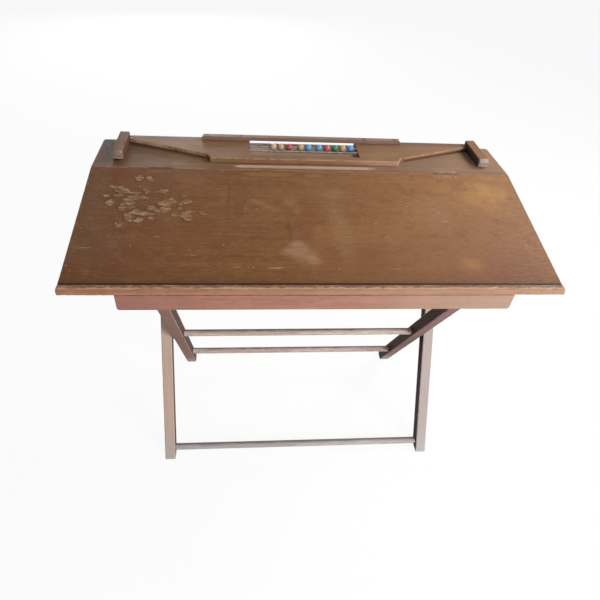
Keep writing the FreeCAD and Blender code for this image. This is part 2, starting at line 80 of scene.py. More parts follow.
# %% Camera
scene = bpy.context.scene
scene.view_settings.view_transform = "Standard"
lens = bpy.data.cameras.new("desk_lens")
lens.sensor_width = 36
lens.lens = 30.02
lens.shift_x = 0.0180
lens.shift_y = -0.00095
camera = bpy.data.objects.new("desk_camera", lens)
camera.location = (-0.1047, -0.6855, 0.8873)
camera.rotation_euler = [math.radians(angle) for angle in (48.296, -3.2965, -3.89)]
scene.collection.objects.link(camera)
scene.camera = camera
print(f"camera {tuple(round(v, 3) for v in camera.location)}, lens {lens.lens:.2f} mm")

# %% [markdown]
# ## Floor
# The floor, every finish and the trees that grow screws and beads are graphs of nodes, so one function
# makes a node, sets or links its inputs and gives back an output. The pale floor carries the desk's
# shadow. Plain white would turn grey away from the lamps. So to the eye, and in a reflection, most of the
# floor's brightness is white of its own, and the rest is the light that falls on it.

# %% Floor
FLOOR_HALF, FLOOR_LEVEL = 6.0, -0.0003
OWN_WHITE = 0.92


def wire(tree, kind, values, out=0, **settings):
    """A node with its inputs set or linked; gives one of its outputs."""
    made = tree.nodes.new(kind)
    for key, value in settings.items():
        setattr(made, key, value)
    for key, value in values.items():
        if isinstance(value, bpy.types.NodeSocket):
            tree.links.new(value, made.inputs[key])
        else:
            made.inputs[key].default_value = value
    return made.outputs[out]


def seen_directly(tree):
    """1 for the eye and for what shows in metal or glass, 0 for light that falls on the desk."""
    path = tree.nodes.new("ShaderNodeLightPath").outputs
    total = path["Is Camera Ray"]
    for name in ("Is Glossy Ray", "Is Transmission Ray"):
        total = wire(tree, "ShaderNodeMath", {0: total, 1: path[name]}, use_clamp=True)
    return total


def pale_floor():
    """Diffuse white that shows mostly as plain white."""
    material = bpy.data.materials.new("pale_floor")
    material.use_nodes = True
    tree = material.node_tree
    tree.nodes.remove(tree.nodes["Principled BSDF"])
    lit = wire(tree, "ShaderNodeBsdfDiffuse", {"Color": (0.9, 0.9, 0.9, 1)})
    white = wire(tree, "ShaderNodeEmission", {})
    share = wire(tree, "ShaderNodeMath", {0: seen_directly(tree), 1: OWN_WHITE}, operation="MULTIPLY")
    both = wire(tree, "ShaderNodeMixShader", {0: share, 1: lit, 2: white})
    tree.links.new(both, tree.nodes["Material Output"].inputs["Surface"])
    return material


corners = ((-1, -1), (1, -1), (1, 1), (-1, 1))
sheet = bpy.data.meshes.new("floor")
sheet.from_pydata([(x * FLOOR_HALF, y * FLOOR_HALF, FLOOR_LEVEL) for x, y in corners], [], [(0, 1, 2, 3)])
sheet.materials.append(pale_floor())
floor = bpy.data.objects.new("floor", sheet)
scene.collection.objects.link(floor)
print("floor", 2 * FLOOR_HALF, "m wide")

# %% [markdown]
# ## Light
# A large soft lamp stands at the front right, a lower one reaches the legs under the box, and a third at
# the back right throws the small shadows in front of the gallery that the photograph shows. A low one
# behind reaches the back. A bright sky alone would be simpler, but it would wash those shadows out, so
# the sky is faint. Together they light a surface about as its colour is written.

# %% Sky and lamps
SKY_LIGHT, SKY_SEEN = 0.19, 1.0
world = bpy.data.worlds.new("studio")
scene.world = world
world.use_nodes = True
sky = world.node_tree
glow = sky.nodes["Background"].inputs
glow["Color"].default_value = (1, 1, 1, 1)
strength = {"Value": seen_directly(sky), "To Min": SKY_LIGHT, "To Max": SKY_SEEN}
sky.links.new(wire(sky, "ShaderNodeMapRange", strength), glow["Strength"])


def lamp(name, place, aim, side, power):
    """A square soft lamp turned to a point."""
    light = bpy.data.lights.new(name, "AREA")
    light.size = side
    light.energy = power
    holder = bpy.data.objects.new(name, light)
    holder.location = place
    holder.rotation_euler = (Vector(aim) - Vector(place)).to_track_quat("-Z", "Y").to_euler()
    scene.collection.objects.link(holder)


lamp("front_right_lamp", (1.25, -1.45, 1.10), (0.05, 0.0, 0.35), 0.9, 35)
lamp("low_lamp", (0.60, -2.00, 0.35), (0.0, 0.0, 0.25), 1.2, 12)
lamp("back_right_lamp", (1.45, 0.60, 1.55), (0.0, 0.0, 0.45), 0.8, 24)
lamp("low_back_lamp", (-0.60, 3.20, 0.95), (0.0, 0.0, 0.25), 0.9, 38)

# %% [markdown]
# ## How a finish is written
# Every surface is built of patterns at a real size, masks made from them, and colours laid where the
# masks say. A picture could be wrapped round the pieces instead, but nodes need no file and stay sharp
# close by. A class keeps the wiring out of sight. Sizes are in metres, like the Object coordinates under
# every pattern, and colours are screen levels, 0 to 255.

# %% Finish
def linear(colour, share=1.0):
    """A screen colour as the linear colour that a shader takes, with a share of its light."""
    levels = [level / 255 for level in colour]
    levels = [level / 12.92 if level <= 0.04045 else ((level + 0.055) / 1.055) ** 2.4 for level in levels]
    return tuple(share * level for level in levels) + (1.0,)


class Finish:
    """A material that is built up layer by layer."""

    def __init__(self, name, centre=(0, 0, 0), turn=0, gloss=0.5, metallic=0.0):
        self.material = bpy.data.materials.new(name)
        self.material.use_nodes = True
        self.tree = self.material.node_tree
        self.shader = self.tree.nodes["Principled BSDF"]
        self.shader.inputs["Specular IOR Level"].default_value = gloss
        self.shader.inputs["Metallic"].default_value = metallic
        self.centre = centre
        self.turn = (turn, 0, 0)
        self.here = self.node("TexCoord", {}, out="Object")

    def node(self, kind, values, out=0, **settings):
        return wire(self.tree, f"ShaderNode{kind}", values, out, **settings)

    def math(self, operation, *values):
        return self.node("Math", dict(enumerate(values)), operation=operation)

    def both(self, *masks):
        """A mask of the places that several masks share."""
        shared = masks[0]
        for mask in masks[1:]:
            shared = self.math("MULTIPLY", shared, mask)
        return shared

    def ease(self, value, low, high):
        """0 at low, 1 at high, smooth between."""
        limits = {"Value": value, "From Min": low, "From Max": high}
        return self.node("MapRange", limits, interpolation_type="SMOOTHSTEP")

    def span(self, value, low, high):
        """A pattern of about 0.3 to 0.7 stretched to low and high."""
        return self.node("MapRange", {
            "Value": value, "From Min": 0.3, "From Max": 0.7, "To Min": low, "To Max": high})

    def place(self, size=1.0, centre=None, turn=None, start=None):
        """Coordinates from a centre, turned, counted in steps of one size or of three."""
        return self.node("Mapping", {
            "Vector": start or self.here, "Location": self.centre if centre is None else centre,
            "Rotation": self.turn if turn is None else turn,
            "Scale": size if isinstance(size, tuple) else (size, size, size)}, vector_type="TEXTURE")

    def noise(self, size, detail=2.0, rough=0.5, bend=0.0):
        return self.node("TexNoise", {
            "Vector": self.place(size), "Scale": 1.0, "Detail": detail, "Roughness": rough,
            "Distortion": bend})

    def patches(self, size, detail, rough, low, high):
        """A mask of noise: 0 where it is at low, 1 where it is at high."""
        return self.ease(self.noise(size, detail, rough), low, high)

    def wobble(self, amount, size, detail, rough=0.5):
        """Noise of plus or minus an amount in metres."""
        return self.math("MULTIPLY", self.span(self.noise(size, detail, rough), -1, 1), amount)

    def axis(self, letter, where=None):
        """One coordinate, in metres, in the piece's own directions."""
        return self.node("SeparateXYZ", {"Vector": where or self.place()}, out="XYZ".index(letter))

    def fade(self, letter, low, high):
        """A mask along one of the piece's own directions: 0 at low, 1 at high."""
        return self.ease(self.axis(letter), low, high)

    def mix(self, share, *colours):
        """A share of the second colour over the first; three levels are a screen colour."""
        under, over = (linear(c) if isinstance(c, tuple) and len(c) == 3 else c for c in colours)
        return self.node("Mix", {0: share, 6: under, 7: over}, out=2, data_type="RGBA")

    def lay(self, mask, colour, share):
        """Lay a share of a colour where a mask says, or several together."""
        mask = self.both(*mask) if isinstance(mask, tuple) else mask
        self.colour = self.mix(self.math("MULTIPLY", mask, share), self.colour, colour)

    def close(self, depth=0.0003, strength=0.35):
        """Wire the colour, roughness and height into the shader."""
        bump = self.node("Bump", {"Strength": strength, "Distance": depth, "Height": self.height})
        for name, value in (("Normal", bump), ("Base Color", self.colour), ("Roughness", self.rough)):
            self.tree.links.new(value, self.shader.inputs[name])
        return self.material


print("mid grey, as a shader takes it:", round(linear((128, 128, 128))[0], 3))

# %% [markdown]
# ## Stained wood
# The boards are close-grained wood under a thin brown stain and shellac. Along the grain lie long soft
# bands, fibres under a millimetre wide and short dark pores. A wave pattern would give tidy rings, which
# this wood doesn't show. Solid noise that is stretched along one direction gives all three, and because
# it fills space, the end of a board shows end grain by itself. A board is worn palest along its arrises,
# where two faces meet: there the second nearest face is close too.

# %% Wood
class Wood(Finish):
    """Stained wood with its grain along one of the piece's own directions."""

    def __init__(self, name, dark, main, light, centre=(0, 0, 0), turn=0, rough=(0.46, 0.66), gloss=0.22,
                 along="X"):
        super().__init__(name, centre, turn, gloss)
        self.along = along
        figure = self.noise(self.grain(0.20, 0.006), 6.0, 0.68, 0.6)
        self.fibre = self.noise(self.grain(0.030, 0.0010), 3.0, 0.6)
        pores = self.patches(self.grain(0.010, 0.0007), 1.0, 0.5, 0.60, 0.70)
        self.cloud = self.noise((0.09, 0.06, 0.06), 5.0, 0.66)
        self.colour = self.mix(self.ease(figure, 0.34, 0.66), dark, main)
        self.lay(self.ease(self.cloud, 0.48, 0.68), light, 0.45)
        self.lay(self.ease(self.fibre, 0.52, 0.70), light, 0.45)
        self.lay(self.ease(self.fibre, 0.48, 0.30), dark, 0.55)
        self.lay(self.patches(self.grain(0.010, 0.004), 4.0, 0.7, 0.54, 0.70), dark, 0.35)
        self.lay(pores, (58, 36, 26), 0.32)
        self.rough = self.span(self.fibre, *rough)
        self.height = self.math("SUBTRACT", self.fibre, pores)

    def grain(self, length, width):
        return tuple(length if letter == self.along else width for letter in "XYZ")

    def arris(self, half, reach):
        """A ragged mask along the edges of a board of given half sizes."""
        away = self.node("VectorMath", {0: self.place()}, operation="ABSOLUTE")
        away = self.node("VectorMath", {0: away, 1: half}, operation="SUBTRACT")
        first, second, third = (self.axis(letter, away) for letter in "XYZ")
        middle = self.math("MINIMUM", self.math("MAXIMUM", first, second), third)
        middle = self.math("MAXIMUM", self.math("MINIMUM", first, second), middle)
        ragged = self.wobble(reach, (0.012, 0.006, 0.006), 3.0, 0.65)
        return self.ease(self.math("ADD", middle, ragged), -reach, 0.0)

    def knocked(self):
        """The mask of a worn copy's own arrises, broken up."""
        edge = self.node("Attribute", {}, out=2, attribute_name="arris")
        return self.both(self.ease(edge, 0.15, 0.8), self.patches(0.014, 3.0, 0.65, 0.36, 0.56))


def centre_of(node):
    return tuple(sum(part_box(node), Vector()) / 2)


def half_of(node):
    """Half sizes of a node's box."""
    low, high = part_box(node)
    return tuple((high - low) / 2)


def dress(material, *names):
    """Give CAD nodes a finish."""
    for name in names:
        mesh = nodes[name].data
        mesh.materials.clear()
        mesh.materials.append(material)


# %% [markdown]
# ## The lid
# The writing board has lived: a pale scrub near the middle, yellowed drips by the ledge, scratches,
# specks of paint, and dirt along the lip. Noise alone would put such marks anywhere. Most have places, so
# they are listed here, each as an ellipse on the board.

# %% Marks on the lid
# The lid's upper face, in metres: its front edge, and how far it runs back and rises
LID_FRONT_Y, LID_FRONT_Z = -0.167, 0.448
LID_RUN, LID_RISE = 0.241, 0.0465
SLOPE = math.atan2(LID_RISE, LID_RUN)
LID_HALF = (0.35, 0.1227, 0.004)
lid_centre = (0.0, LID_FRONT_Y + LID_RUN / 2 + math.sin(SLOPE) * LID_HALF[2],
              LID_FRONT_Z + LID_RISE / 2 - math.cos(SLOPE) * LID_HALF[2])
# Marks: x, y, half length, half width in millimetres, and turn in degrees
SCRUB = ((-23, -105, 23, 17, -32), (-38, -104, 14, 9, 0), (-9, -119, 15, 9, -32), (-27, -93, 13, 9, 0))
FAINT_SCRUB = ((-34, -1, 12, 12, -25), (-24, -20, 7, 10, 0), (-86, -2, 15, 6, -8), (-104, -16, 4, 11, 0),
               (-67, -12, 8, 5, -20), (40, -60, 15, 75, 4), (36, 20, 22, 14, 0), (190, -20, 50, 40, 0))
YELLOW = ((-65, 64, 54, 6.4, 0), (9, 62, 21, 5.6, 0))
GOLDEN = ((288, 34, 60, 46, 12), (225, -130, 18, 13, 20))
DAMP = ((-108, 8, 20, 40, 4),)
GREY = ((-320, -90, 34, 24, 10), (-200, 62, 70, 12, 0), (-335, -10, 16, 60, 0))
REDDISH = ((-300, 60, 36, 18, 0), (-190, -70, 60, 24, 0), (60, -120, 70, 26, 0), (290, -135, 50, 22, 0),
           (-10, -40, 24, 40, 0), (-260, -103, 16, 10, 0), (-240, -129, 18, 6, 0), (-46, -142, 24, 8, 0))
SMUDGES = ((-129, 12, 34, 1.8, 90), (-106, -11, 13, 2.2, 80), (-38, -63, 16, 2.4, 92), (-86, -14, 5, 3, 40))
SCRATCHES = ((156, -21, 27, 0.35, -82), (113, -106, 13, 0.5, 20))
DASHES = ((109, -74, 5, 0.9, 0), (113, -137, 6, 0.8, -8), (202, -21, 4, 1.4, 10), (208, -40, 5, 1.8, 0),
          (97, -45, 5, 1.0, 20), (-231, -78, 6, 0.7, 0), (-328, -100, 10, 0.8, 8), (-116, -134, 9, 0.7, 3),
          (-60, -135, 13, 1.4, 4), (-178, -112, 12, 0.7, 2))
print(f"lid slopes {math.degrees(SLOPE):.1f} degrees,", len(SMUDGES + SCRATCHES + DASHES), "thin marks")

# %% [markdown]
# Under the marks the board is darker at its left end and mottled all over. The broad changes are fades
# along its length, partly stain and partly painted light: lighter towards the right, where the lamps
# stand. The mottling is noise in two sizes, pale where it is high and dark where it is low, so that
# neither wins.

# %% Bare board
lid = Wood("lid_wood", (112, 72, 40), (128, 86, 50), (144, 102, 63), lid_centre, SLOPE, (0.40, 0.62), 0.14)
# Lighter to the right and darker at the left end: partly stain, partly painted light from the right.
lid.lay(lid.fade("X", -0.16, 0.34), (162, 116, 76), 0.62)
lid.lay(lid.fade("X", 0.14, 0.32), (138, 92, 56), 0.42)
lid.lay(lid.fade("X", -0.14, -0.35), (100, 64, 48), 0.5)
mottle = lid.noise((0.030, 0.020, 0.020), 6.0, 0.7)
lid.lay(lid.ease(mottle, 0.52, 0.66), (142, 104, 66), 0.32)
lid.lay(lid.ease(mottle, 0.46, 0.34), (108, 62, 38), 0.36)
flecks = lid.noise(lid.grain(0.012, 0.0045), 5.0, 0.75)
lid.lay(lid.ease(flecks, 0.53, 0.66), (156, 114, 72), 0.36)
lid.lay(lid.ease(flecks, 0.47, 0.34), (88, 52, 30), 0.34)
print(len(lid.tree.nodes), "nodes for the bare board")

# %% [markdown]
# Coordinates that are shaken by noise give the ellipses ragged outlines, and the nearest ellipse decides.
# Each is full inside and gone outside, at so many of its half sizes, on the upper face alone. Stains come
# first, because later wear lies over them: soft ones where the shellac reddened, yellowed or went grey,
# and a damp ring. Painted shade darkens the front right, where the lamps' sheen would be too bright.

# %% Stains on the lid
ANY_HEIGHT = 10.0


def ragged_place(size, amount, rough=0.5):
    """Coordinates shaken by noise."""
    pattern = {"Vector": lid.place(size), "Scale": 1.0, "Detail": 5.0, "Roughness": rough}
    shake = lid.node("TexNoise", pattern, out=1)
    shake = lid.node("VectorMath", {0: shake, 1: (0.5, 0.5, 0.5)}, operation="SUBTRACT")
    shake = lid.node("VectorMath", {0: shake, "Scale": amount}, operation="SCALE")
    return lid.node("VectorMath", {0: lid.here, 1: shake}, operation="ADD")


def on_top(marks, where, inner, outer):
    """A mask of marks, by how far the nearest is in its own half sizes."""
    nearest = None
    for x, y, length, width, turn in marks:
        size, centre = (length / 1000, width / 1000, ANY_HEIGHT), (x / 1000, y / 1000, 0.47)
        mapped = lid.place(size, centre, (0, 0, math.radians(turn)), where)
        far = lid.node("VectorMath", {0: mapped}, out="Value", operation="LENGTH")
        nearest = far if nearest is None else lid.math("MINIMUM", nearest, far)
    return lid.both(lid.ease(nearest, outer, inner), upper)


upper = lid.fade("Z", 0.002, 0.0036)
soft = ragged_place(0.045, 0.045)
torn = ragged_place(0.013, 0.016, 0.72)
fine = ragged_place(0.006, 0.005)
broken = lid.ease(lid.cloud, 0.38, 0.60)
lid.lay(on_top(REDDISH, soft, 0.2, 1.6), (118, 70, 44), 0.4)
lid.lay((on_top(GOLDEN, torn, 0.0, 1.7), broken), (188, 140, 80), 0.6)
# Darker towards the front right: painted shade that tones down the lamps' sheen there.
lid.lay((lid.fade("Y", 0.07, -0.12), lid.fade("X", -0.05, 0.30)), (122, 78, 54), 0.55)
lid.lay(on_top(GREY, soft, 0.2, 1.6), (106, 80, 66), 0.3)
lid.lay(on_top(DAMP, soft, 0.85, 1.1), (96, 62, 36), 0.25)
lid.lay(on_top(DAMP, soft, 0.6, 0.95), (126, 88, 52), 0.4)
print(len(lid.tree.nodes), "nodes for the board and its stains")

# %% [markdown]
# Rubs follow the grain, so noise that is long and narrow breaks them into streaks. Scratches and dashes
# are thin ellipses. They could be cut into the board, but real grooves so fine would hardly show.

# %% Lid rubs and scratches
streaks = lid.patches(lid.grain(0.020, 0.0014), 4.0, 0.65, 0.34, 0.62)
rubbed = on_top(SCRUB, torn, 0.20, 1.45)
scrub = lid.both(rubbed, streaks)
lid.lay(rubbed, (144, 106, 76), 0.55)
lid.lay(scrub, (176, 140, 110), 0.62)
lid.lay((on_top(FAINT_SCRUB, torn, 0.1, 1.5), streaks), (158, 120, 88), 0.55)
lid.lay(on_top(YELLOW, fine, 1.0, 1.4), (92, 58, 30), 0.35)
lid.lay(on_top(YELLOW, fine, 0.6, 1.0), (146, 108, 62), 0.6)
lid.lay(on_top(SMUDGES, torn, 0.2, 2.4), (82, 52, 32), 0.34)
lid.lay(on_top(SCRATCHES, fine, 0.7, 1.6), (78, 48, 30), 0.5)
lid.lay(on_top(DASHES, fine, 0.5, 1.3), (184, 146, 112), 0.55)
print(len(lid.tree.nodes), "nodes with the rubs and scratches")

# %% [markdown]
# Specks of paint and dust lie where they fell. They could be listed too, but a cell pattern gives them by
# itself: a small dot at each cell's own point, and only in some cells. Towards the lip the board darkens,
# darkest in a line in the corner against it: dirt and painted shade, where the lip shades the board. The
# board's edges are rubbed.

# %% Lid specks, dirt and shade by the lip, and edges
CELL = 0.042
cells = lid.tree.nodes.new("ShaderNodeTexVoronoi")
cells.voronoi_dimensions = "2D"
cells.inputs["Scale"].default_value = 1.0
lid.tree.links.new(lid.place(CELL), cells.inputs["Vector"])
chosen = lid.ease(lid.axis("X", cells.outputs["Color"]), 0.60, 0.64)
dot = lid.math("MULTIPLY", lid.axis("Y", cells.outputs["Color"]), 0.020)
specks = lid.ease(lid.math("SUBTRACT", cells.outputs["Distance"], dot), 0.012, 0.0)
lid.lay((specks, chosen, upper), (196, 170, 140), 0.7)
# Darker towards the lip and darkest in a line against it: dirt and painted shade from the lip.
lid.lay((lid.fade("Y", -0.080, -0.115), upper), (70, 38, 20), 0.22)
lid.lay((lid.fade("Y", -0.107, -0.1222), upper), (84, 50, 32), 0.4)
lid.lay((lid.fade("Y", -0.1165, -0.1188), upper), (48, 22, 8), 0.88)
lid.lay(lid.arris(LID_HALF, 0.0016), (158, 120, 92), 0.5)
lid.lay(lid.fade("Z", 0.0, -0.003), (120, 90, 66), 0.6)
lid.rough = lid.math("MULTIPLY_ADD", scrub, 0.2, lid.rough)
dress(lid.close(0.0004, 0.5), "writing_lid")
print("lid finish:", len(lid.tree.nodes), "nodes")

# %% [markdown]
# ## Lifted flakes
# At the left the finish has come up in shards, crumpled inside, with a painted shadow at the edge. They
# stand up from the board, so they are shapes and not only paint. Each starts as a diamond, whose outline
# and height are pulled about by noise that is the same at every run.

# %% Flake shapes
# Flakes: x, y, half length, half width in millimetres, and turn in degrees
FLAKES = (
    (-297, 21, 18.7, 6.3, -22), (-271, 48, 5.6, 7.5, 2), (-255, 48, 7.0, 4.1, -33),
    (-256, 19, 6.6, 6.0, 1), (-232, 18, 12.2, 4.2, 15), (-316, 7, 3.9, 3.9, -26),
    (-297, 8, 8.1, 2.9, 1), (-308, -9, 7.2, 6.7, 1), (-288, -18, 6.9, 7.0, 1),
    (-269, 4, 14.9, 5.9, -6), (-280, -2, 8.1, 4.8, 1), (-280, -9, 9.6, 4.5, 7),
    (-276, -17, 9.1, 3.9, 1), (-274, 14, 7.7, 2.8, 1), (-246, -19, 7.0, 5.0, 19),
    (-223, -7, 15.9, 9.6, 19), (-228, -23, 13.9, 6.3, 5), (-199, 8, 5.0, 2.1, 1),
    (-195, -4, 7.7, 4.9, 1), (-201, -11, 5.5, 2.6, 1), (-203, -19, 3.8, 4.1, 1),
    (-188, -26, 8.1, 2.5, 1), (-168, -29, 7.1, 3.4, -29), (-209, -33, 5.0, 5.2, -13),
    (-193, -34, 9.1, 6.5, 1), (-189, -43, 6.4, 2.1, 1), (-256, -31, 18.1, 4.4, -2),
    (-267, -25, 5.3, 3.9, 16), (-276, -39, 6.3, 11.4, 23), (-260, -45, 7.2, 5.8, 13),
    (-244, -41, 6.3, 2.1, 1), (-288, -55, 5.8, 8.6, -25),
)
uphill = Vector((0, math.cos(SLOPE), math.sin(SLOPE)))
outward = Vector((0, -math.sin(SLOPE), math.cos(SLOPE)))
lid_front_top = Vector((0, LID_FRONT_Y, LID_FRONT_Z))


def flake_point(flake, count, angle, reach, beyond=0.0):
    """A point on the board: a share of the way from a flake's middle to its ragged outline."""
    x, y, length, width, turn = flake
    along, over = math.cos(angle), math.sin(angle)
    shard = 1 / (abs(along) / length + abs(over) / width)
    oval = 1 / math.hypot(along / length, over / width)
    ragged = 1 + 0.5 * noise.noise(Vector((2.4 * along, 2.4 * over, 5.3 * count + 0.7)))
    radius = (0.62 * shard + 0.46 * oval) / 1000 * ragged * reach + beyond
    spin = math.radians(turn) + angle
    start = Vector((x / 1000, 0, 0)) + lid_front_top + uphill * (y / 1000 - lid_front_top.y) / uphill.y
    return start + Vector((1, 0, 0)) * radius * math.cos(spin) + uphill * radius * math.sin(spin)


def crumple(point):
    """How far a flake stands up at a point, 0 to 1: ridges along the grain."""
    level = noise.noise(Vector((point.x * 85, point.y * 270, 0.3)))
    level += 0.6 * noise.noise(Vector((point.x * 210, point.y * 620, 4.1)))
    return max(0.12, min(1.0, 0.58 + 0.9 * level))


print(len(FLAKES), "flakes")

# %% [markdown]
# A flake is built of rings round its middle, so that its outline and its height can change by themselves.
# A thin skirt round it carries a painted shadow, and a foot inside the board closes it. The height is kept
# as an attribute for the finish.

# %% Flake mesh
SPOKES = 30
INSIDE = (0.14, 0.28, 0.42, 0.56, 0.70, 0.84, 0.95)
FLAKE_RISE, SKIN, FOOT, SHADOW_SKIRT = 0.0008, 0.00004, -0.0002, 0.0009
work = bmesh.new()
lift = work.verts.layers.float.new("lift")


def flake_vert(spot, height, level=0.0):
    """A point over the board that keeps its lift."""
    vert = work.verts.new(spot + outward * height)
    vert[lift] = level
    return vert


def add_flake(count, flake):
    """Crumpled rings, a rim, a skirt and a foot."""
    angles = [math.tau * spoke / SPOKES for spoke in range(SPOKES)]
    rings = []
    for reach in INSIDE:
        spots = [flake_point(flake, count, angle, reach) for angle in angles]
        rings.append([flake_vert(spot, FLAKE_RISE * crumple(spot), crumple(spot)) for spot in spots])
    for beyond, height in ((0.0, SKIN), (SHADOW_SKIRT, SKIN), (SHADOW_SKIRT, FOOT)):
        spots = [flake_point(flake, count, angle, 1.0, beyond) for angle in angles]
        rings.append([flake_vert(spot, height) for spot in spots])
    spot = flake_point(flake, count, 0.0, 0.0)
    peak = flake_vert(spot, FLAKE_RISE * crumple(spot), crumple(spot))
    for spoke in range(SPOKES):
        after = (spoke + 1) % SPOKES
        work.faces.new((peak, rings[0][spoke], rings[0][after]))
        for inner, outer in zip(rings, rings[1:]):
            work.faces.new((inner[spoke], outer[spoke], outer[after], inner[after]))
    work.faces.new(reversed(rings[-1]))


for count, flake in enumerate(FLAKES):
    add_flake(count, flake)
for face in work.faces:
    face.smooth = len(face.verts) <= 4
flake_mesh = bpy.data.meshes.new("lid_flakes")
work.to_mesh(flake_mesh)
work.free()
print(len(flake_mesh.polygons), "faces in the flakes")

# %% [markdown]
# The flakes are the lid's wood, paler, with painted shadow where they lie low and a painted highlight on
# their crests. The kept height says where, so the colour follows the shape.

# %% Flake finish
flaky = Wood("flake_wood", (118, 88, 56), (138, 106, 72), (154, 120, 88), lid_centre, SLOPE, (0.55, 0.75))
flaky.lay(flaky.ease(flaky.cloud, 0.46, 0.56), (148, 111, 88), 0.5)
lifted = flaky.node("Attribute", {}, out=2, attribute_name="lift")
# Painted shadow on the skirt and in the hollows, where the lift is low.
flaky.lay(flaky.ease(lifted, 0.30, 0.05), (80, 50, 29), 0.8)
# Painted highlight on the crests, where the lift is high.
flaky.lay(flaky.ease(lifted, 0.55, 0.95), (182, 148, 116), 0.6)
flake_mesh.materials.append(flaky.close())
flakes = bpy.data.objects.new("lid_flakes", flake_mesh)
scene.collection.objects.link(flakes)
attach(flakes, body_of["writing_lid"])
print("flakes ride on", body_of["writing_lid"])

# %% [markdown]
# ## Knocked edges
# The lip, the gallery and the legs stick out, so years of use rounded and chipped them. A Bevel modifier
# would leave every edge evenly round, as if new. So a copy of such a board is merged into one skin, its
# sharp edges are bevelled, it is cut into short lengths, and the points on the bevels are pushed in by
# noise with a fixed seed. Those points also carry an attribute that the finish reads, so that the chips
# show bare wood exactly where the shape is worn.

# %% Worn copies
MERGE = 2e-6
FLAT, SHARP = math.radians(0.4), math.radians(50)
BEVEL_WIDEST = 0.0022


def stand_for(piece, node):
    """Put a new piece on its node's body and in the node's place."""
    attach(piece, body_of[node])
    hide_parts(node)


def softened(node, soften):
    """A node's mesh in one skin with its sharp edges bevelled; gives it and a mark on its flat faces."""
    work = bmesh.new()
    work.from_mesh(nodes[node].data)
    bmesh.ops.remove_doubles(work, verts=work.verts, dist=MERGE)
    bmesh.ops.dissolve_limit(work, angle_limit=FLAT, verts=work.verts, edges=work.edges)
    sharp = [edge for edge in work.edges
             if edge.is_manifold and edge.is_convex and edge.calc_face_angle() > SHARP]
    bmesh.ops.bevel(work, geom=sharp, offset=soften, segments=2, profile=0.5, affect="EDGES",
                    clamp_overlap=True)
    flat = work.faces.layers.int.new("flat")
    for face in work.faces:
        longest = max(edge.calc_length() for edge in face.edges)
        face[flat] = int(face.calc_area() / longest > BEVEL_WIDEST)
    return work, flat


def worn_copy(node, material, along, step, soften, knock, seed, slot="stained_wood"):
    """A copy of a board with softened and chipped arrises, in place of its CAD node."""
    work, flat = softened(node, soften)
    line = Vector(along).normalized()
    reach = [line.dot(vert.co) for vert in work.verts]
    start, length = min(reach), max(reach) - min(reach)
    count = int(length / step)
    for cut in range(1, count):
        whole = work.verts[:] + work.edges[:] + work.faces[:]
        spot = line * (start + length * cut / count)
        bmesh.ops.bisect_plane(work, geom=whole, dist=1e-7, plane_co=spot, plane_no=line)
    worn = work.verts.layers.float.new("arris")
    work.normal_update()
    shift = Vector((seed * 7.31, seed * 3.17, seed * 1.93))
    for vert in work.verts:
        if any(face[flat] for face in vert.link_faces):
            continue
        vert[worn] = 1.0
        rough = noise.noise(vert.co * 160 + shift) + 0.5 * noise.noise(vert.co * 420 + shift)
        vert.co -= vert.normal * knock * max(0.0, min(1.0, 0.35 + 0.9 * rough))
    for face in work.faces:
        face.smooth = not face[flat]
    mesh = bpy.data.meshes.new(f"worn_{node}")
    work.to_mesh(mesh)
    work.free()
    mesh.materials.append(material)
    copy = bpy.data.objects.new(f"worn_{node}", mesh)
    scene.collection.objects.link(copy)
    stand_for(copy, node)
    print(f"{copy.name}: {len(mesh.vertices)} points, {len(mesh.polygons)} faces")


print(f"edges sharper than {math.degrees(SHARP):.0f} degrees are worn")

# %% [markdown]
# ## Lip and front rail
# The lip is a strip along the writing edge that stops a pencil. Its top is dirty and chipped. Where it
# turns over to the front it is pale, partly rubbed and partly a painted highlight, and under it lies a
# pale band of painted light that softens the shade between lip and rail. A height that is shaken a little
# by noise tells top and turn apart, so that no line between them is straight. The rail below faces the
# light and is redder, with painted shade along its bottom edge. It is handled less, so it keeps its CAD
# mesh. Lip and rail are lighter towards the right, partly painted light from that side.

# %% Lip and front rail
lip = Wood("lip_wood", (148, 102, 79), (162, 114, 89), (177, 132, 105), centre_of("lid_front_lip"))
# Lighter to the right: partly painted light from that side.
lip.lay(lip.fade("X", -0.25, 0.35), (160, 130, 104), 0.5)
lip_level = lip.math("ADD", lip.axis("Z"), lip.wobble(0.00045, (0.010, 0.004, 0.004), 4.0, 0.7))
lip_top = lip.ease(lip_level, 0.0045, 0.0051)
lip_turn = lip.math("SUBTRACT", lip.ease(lip_level, 0.0036, 0.0043), lip_top)
lip.lay(lip_top, (120, 84, 58), 0.85)
lip.lay((lip_top, lip.patches((0.022, 0.003, 0.003), 4.0, 0.7, 0.55, 0.63)), (188, 156, 124), 0.75)
# Pale where the lip turns over: partly rubbed, partly a painted highlight.
lip.lay((lip_turn, lip.patches((0.05, 0.005, 0.005), 5.0, 0.7, 0.34, 0.50)), (198, 168, 138), 0.6)
lip.lay(lip.patches((0.012, 0.0016, 0.0016), 3.0, 0.6, 0.70, 0.76), (96, 66, 50), 0.6)
# A pale band under the lip: painted light that softens the shade between lip and rail.
lip.lay(lip.fade("Z", -0.0036, -0.0046), (236, 200, 174), 0.85)
worn_copy("lid_front_lip", lip.close(), (1, 0, 0), step=0.005, soften=0.0008, knock=0.0006, seed=3)

rail = Wood("front_rail_wood", (146, 100, 85), (161, 113, 96), (176, 128, 108), centre_of("front_rail"))
# Lighter to the right and darker at the left: partly painted light from the right.
rail.lay(rail.fade("X", -0.02, 0.27), (163, 140, 119), 0.7)
rail.lay(rail.fade("X", -0.10, -0.25), (134, 94, 84), 0.45)
# Darker along the bottom edge: painted shade.
rail.lay(rail.fade("Z", -0.0108, -0.0130), (138, 100, 92), 0.45)
dress(rail.close(), "front_rail")
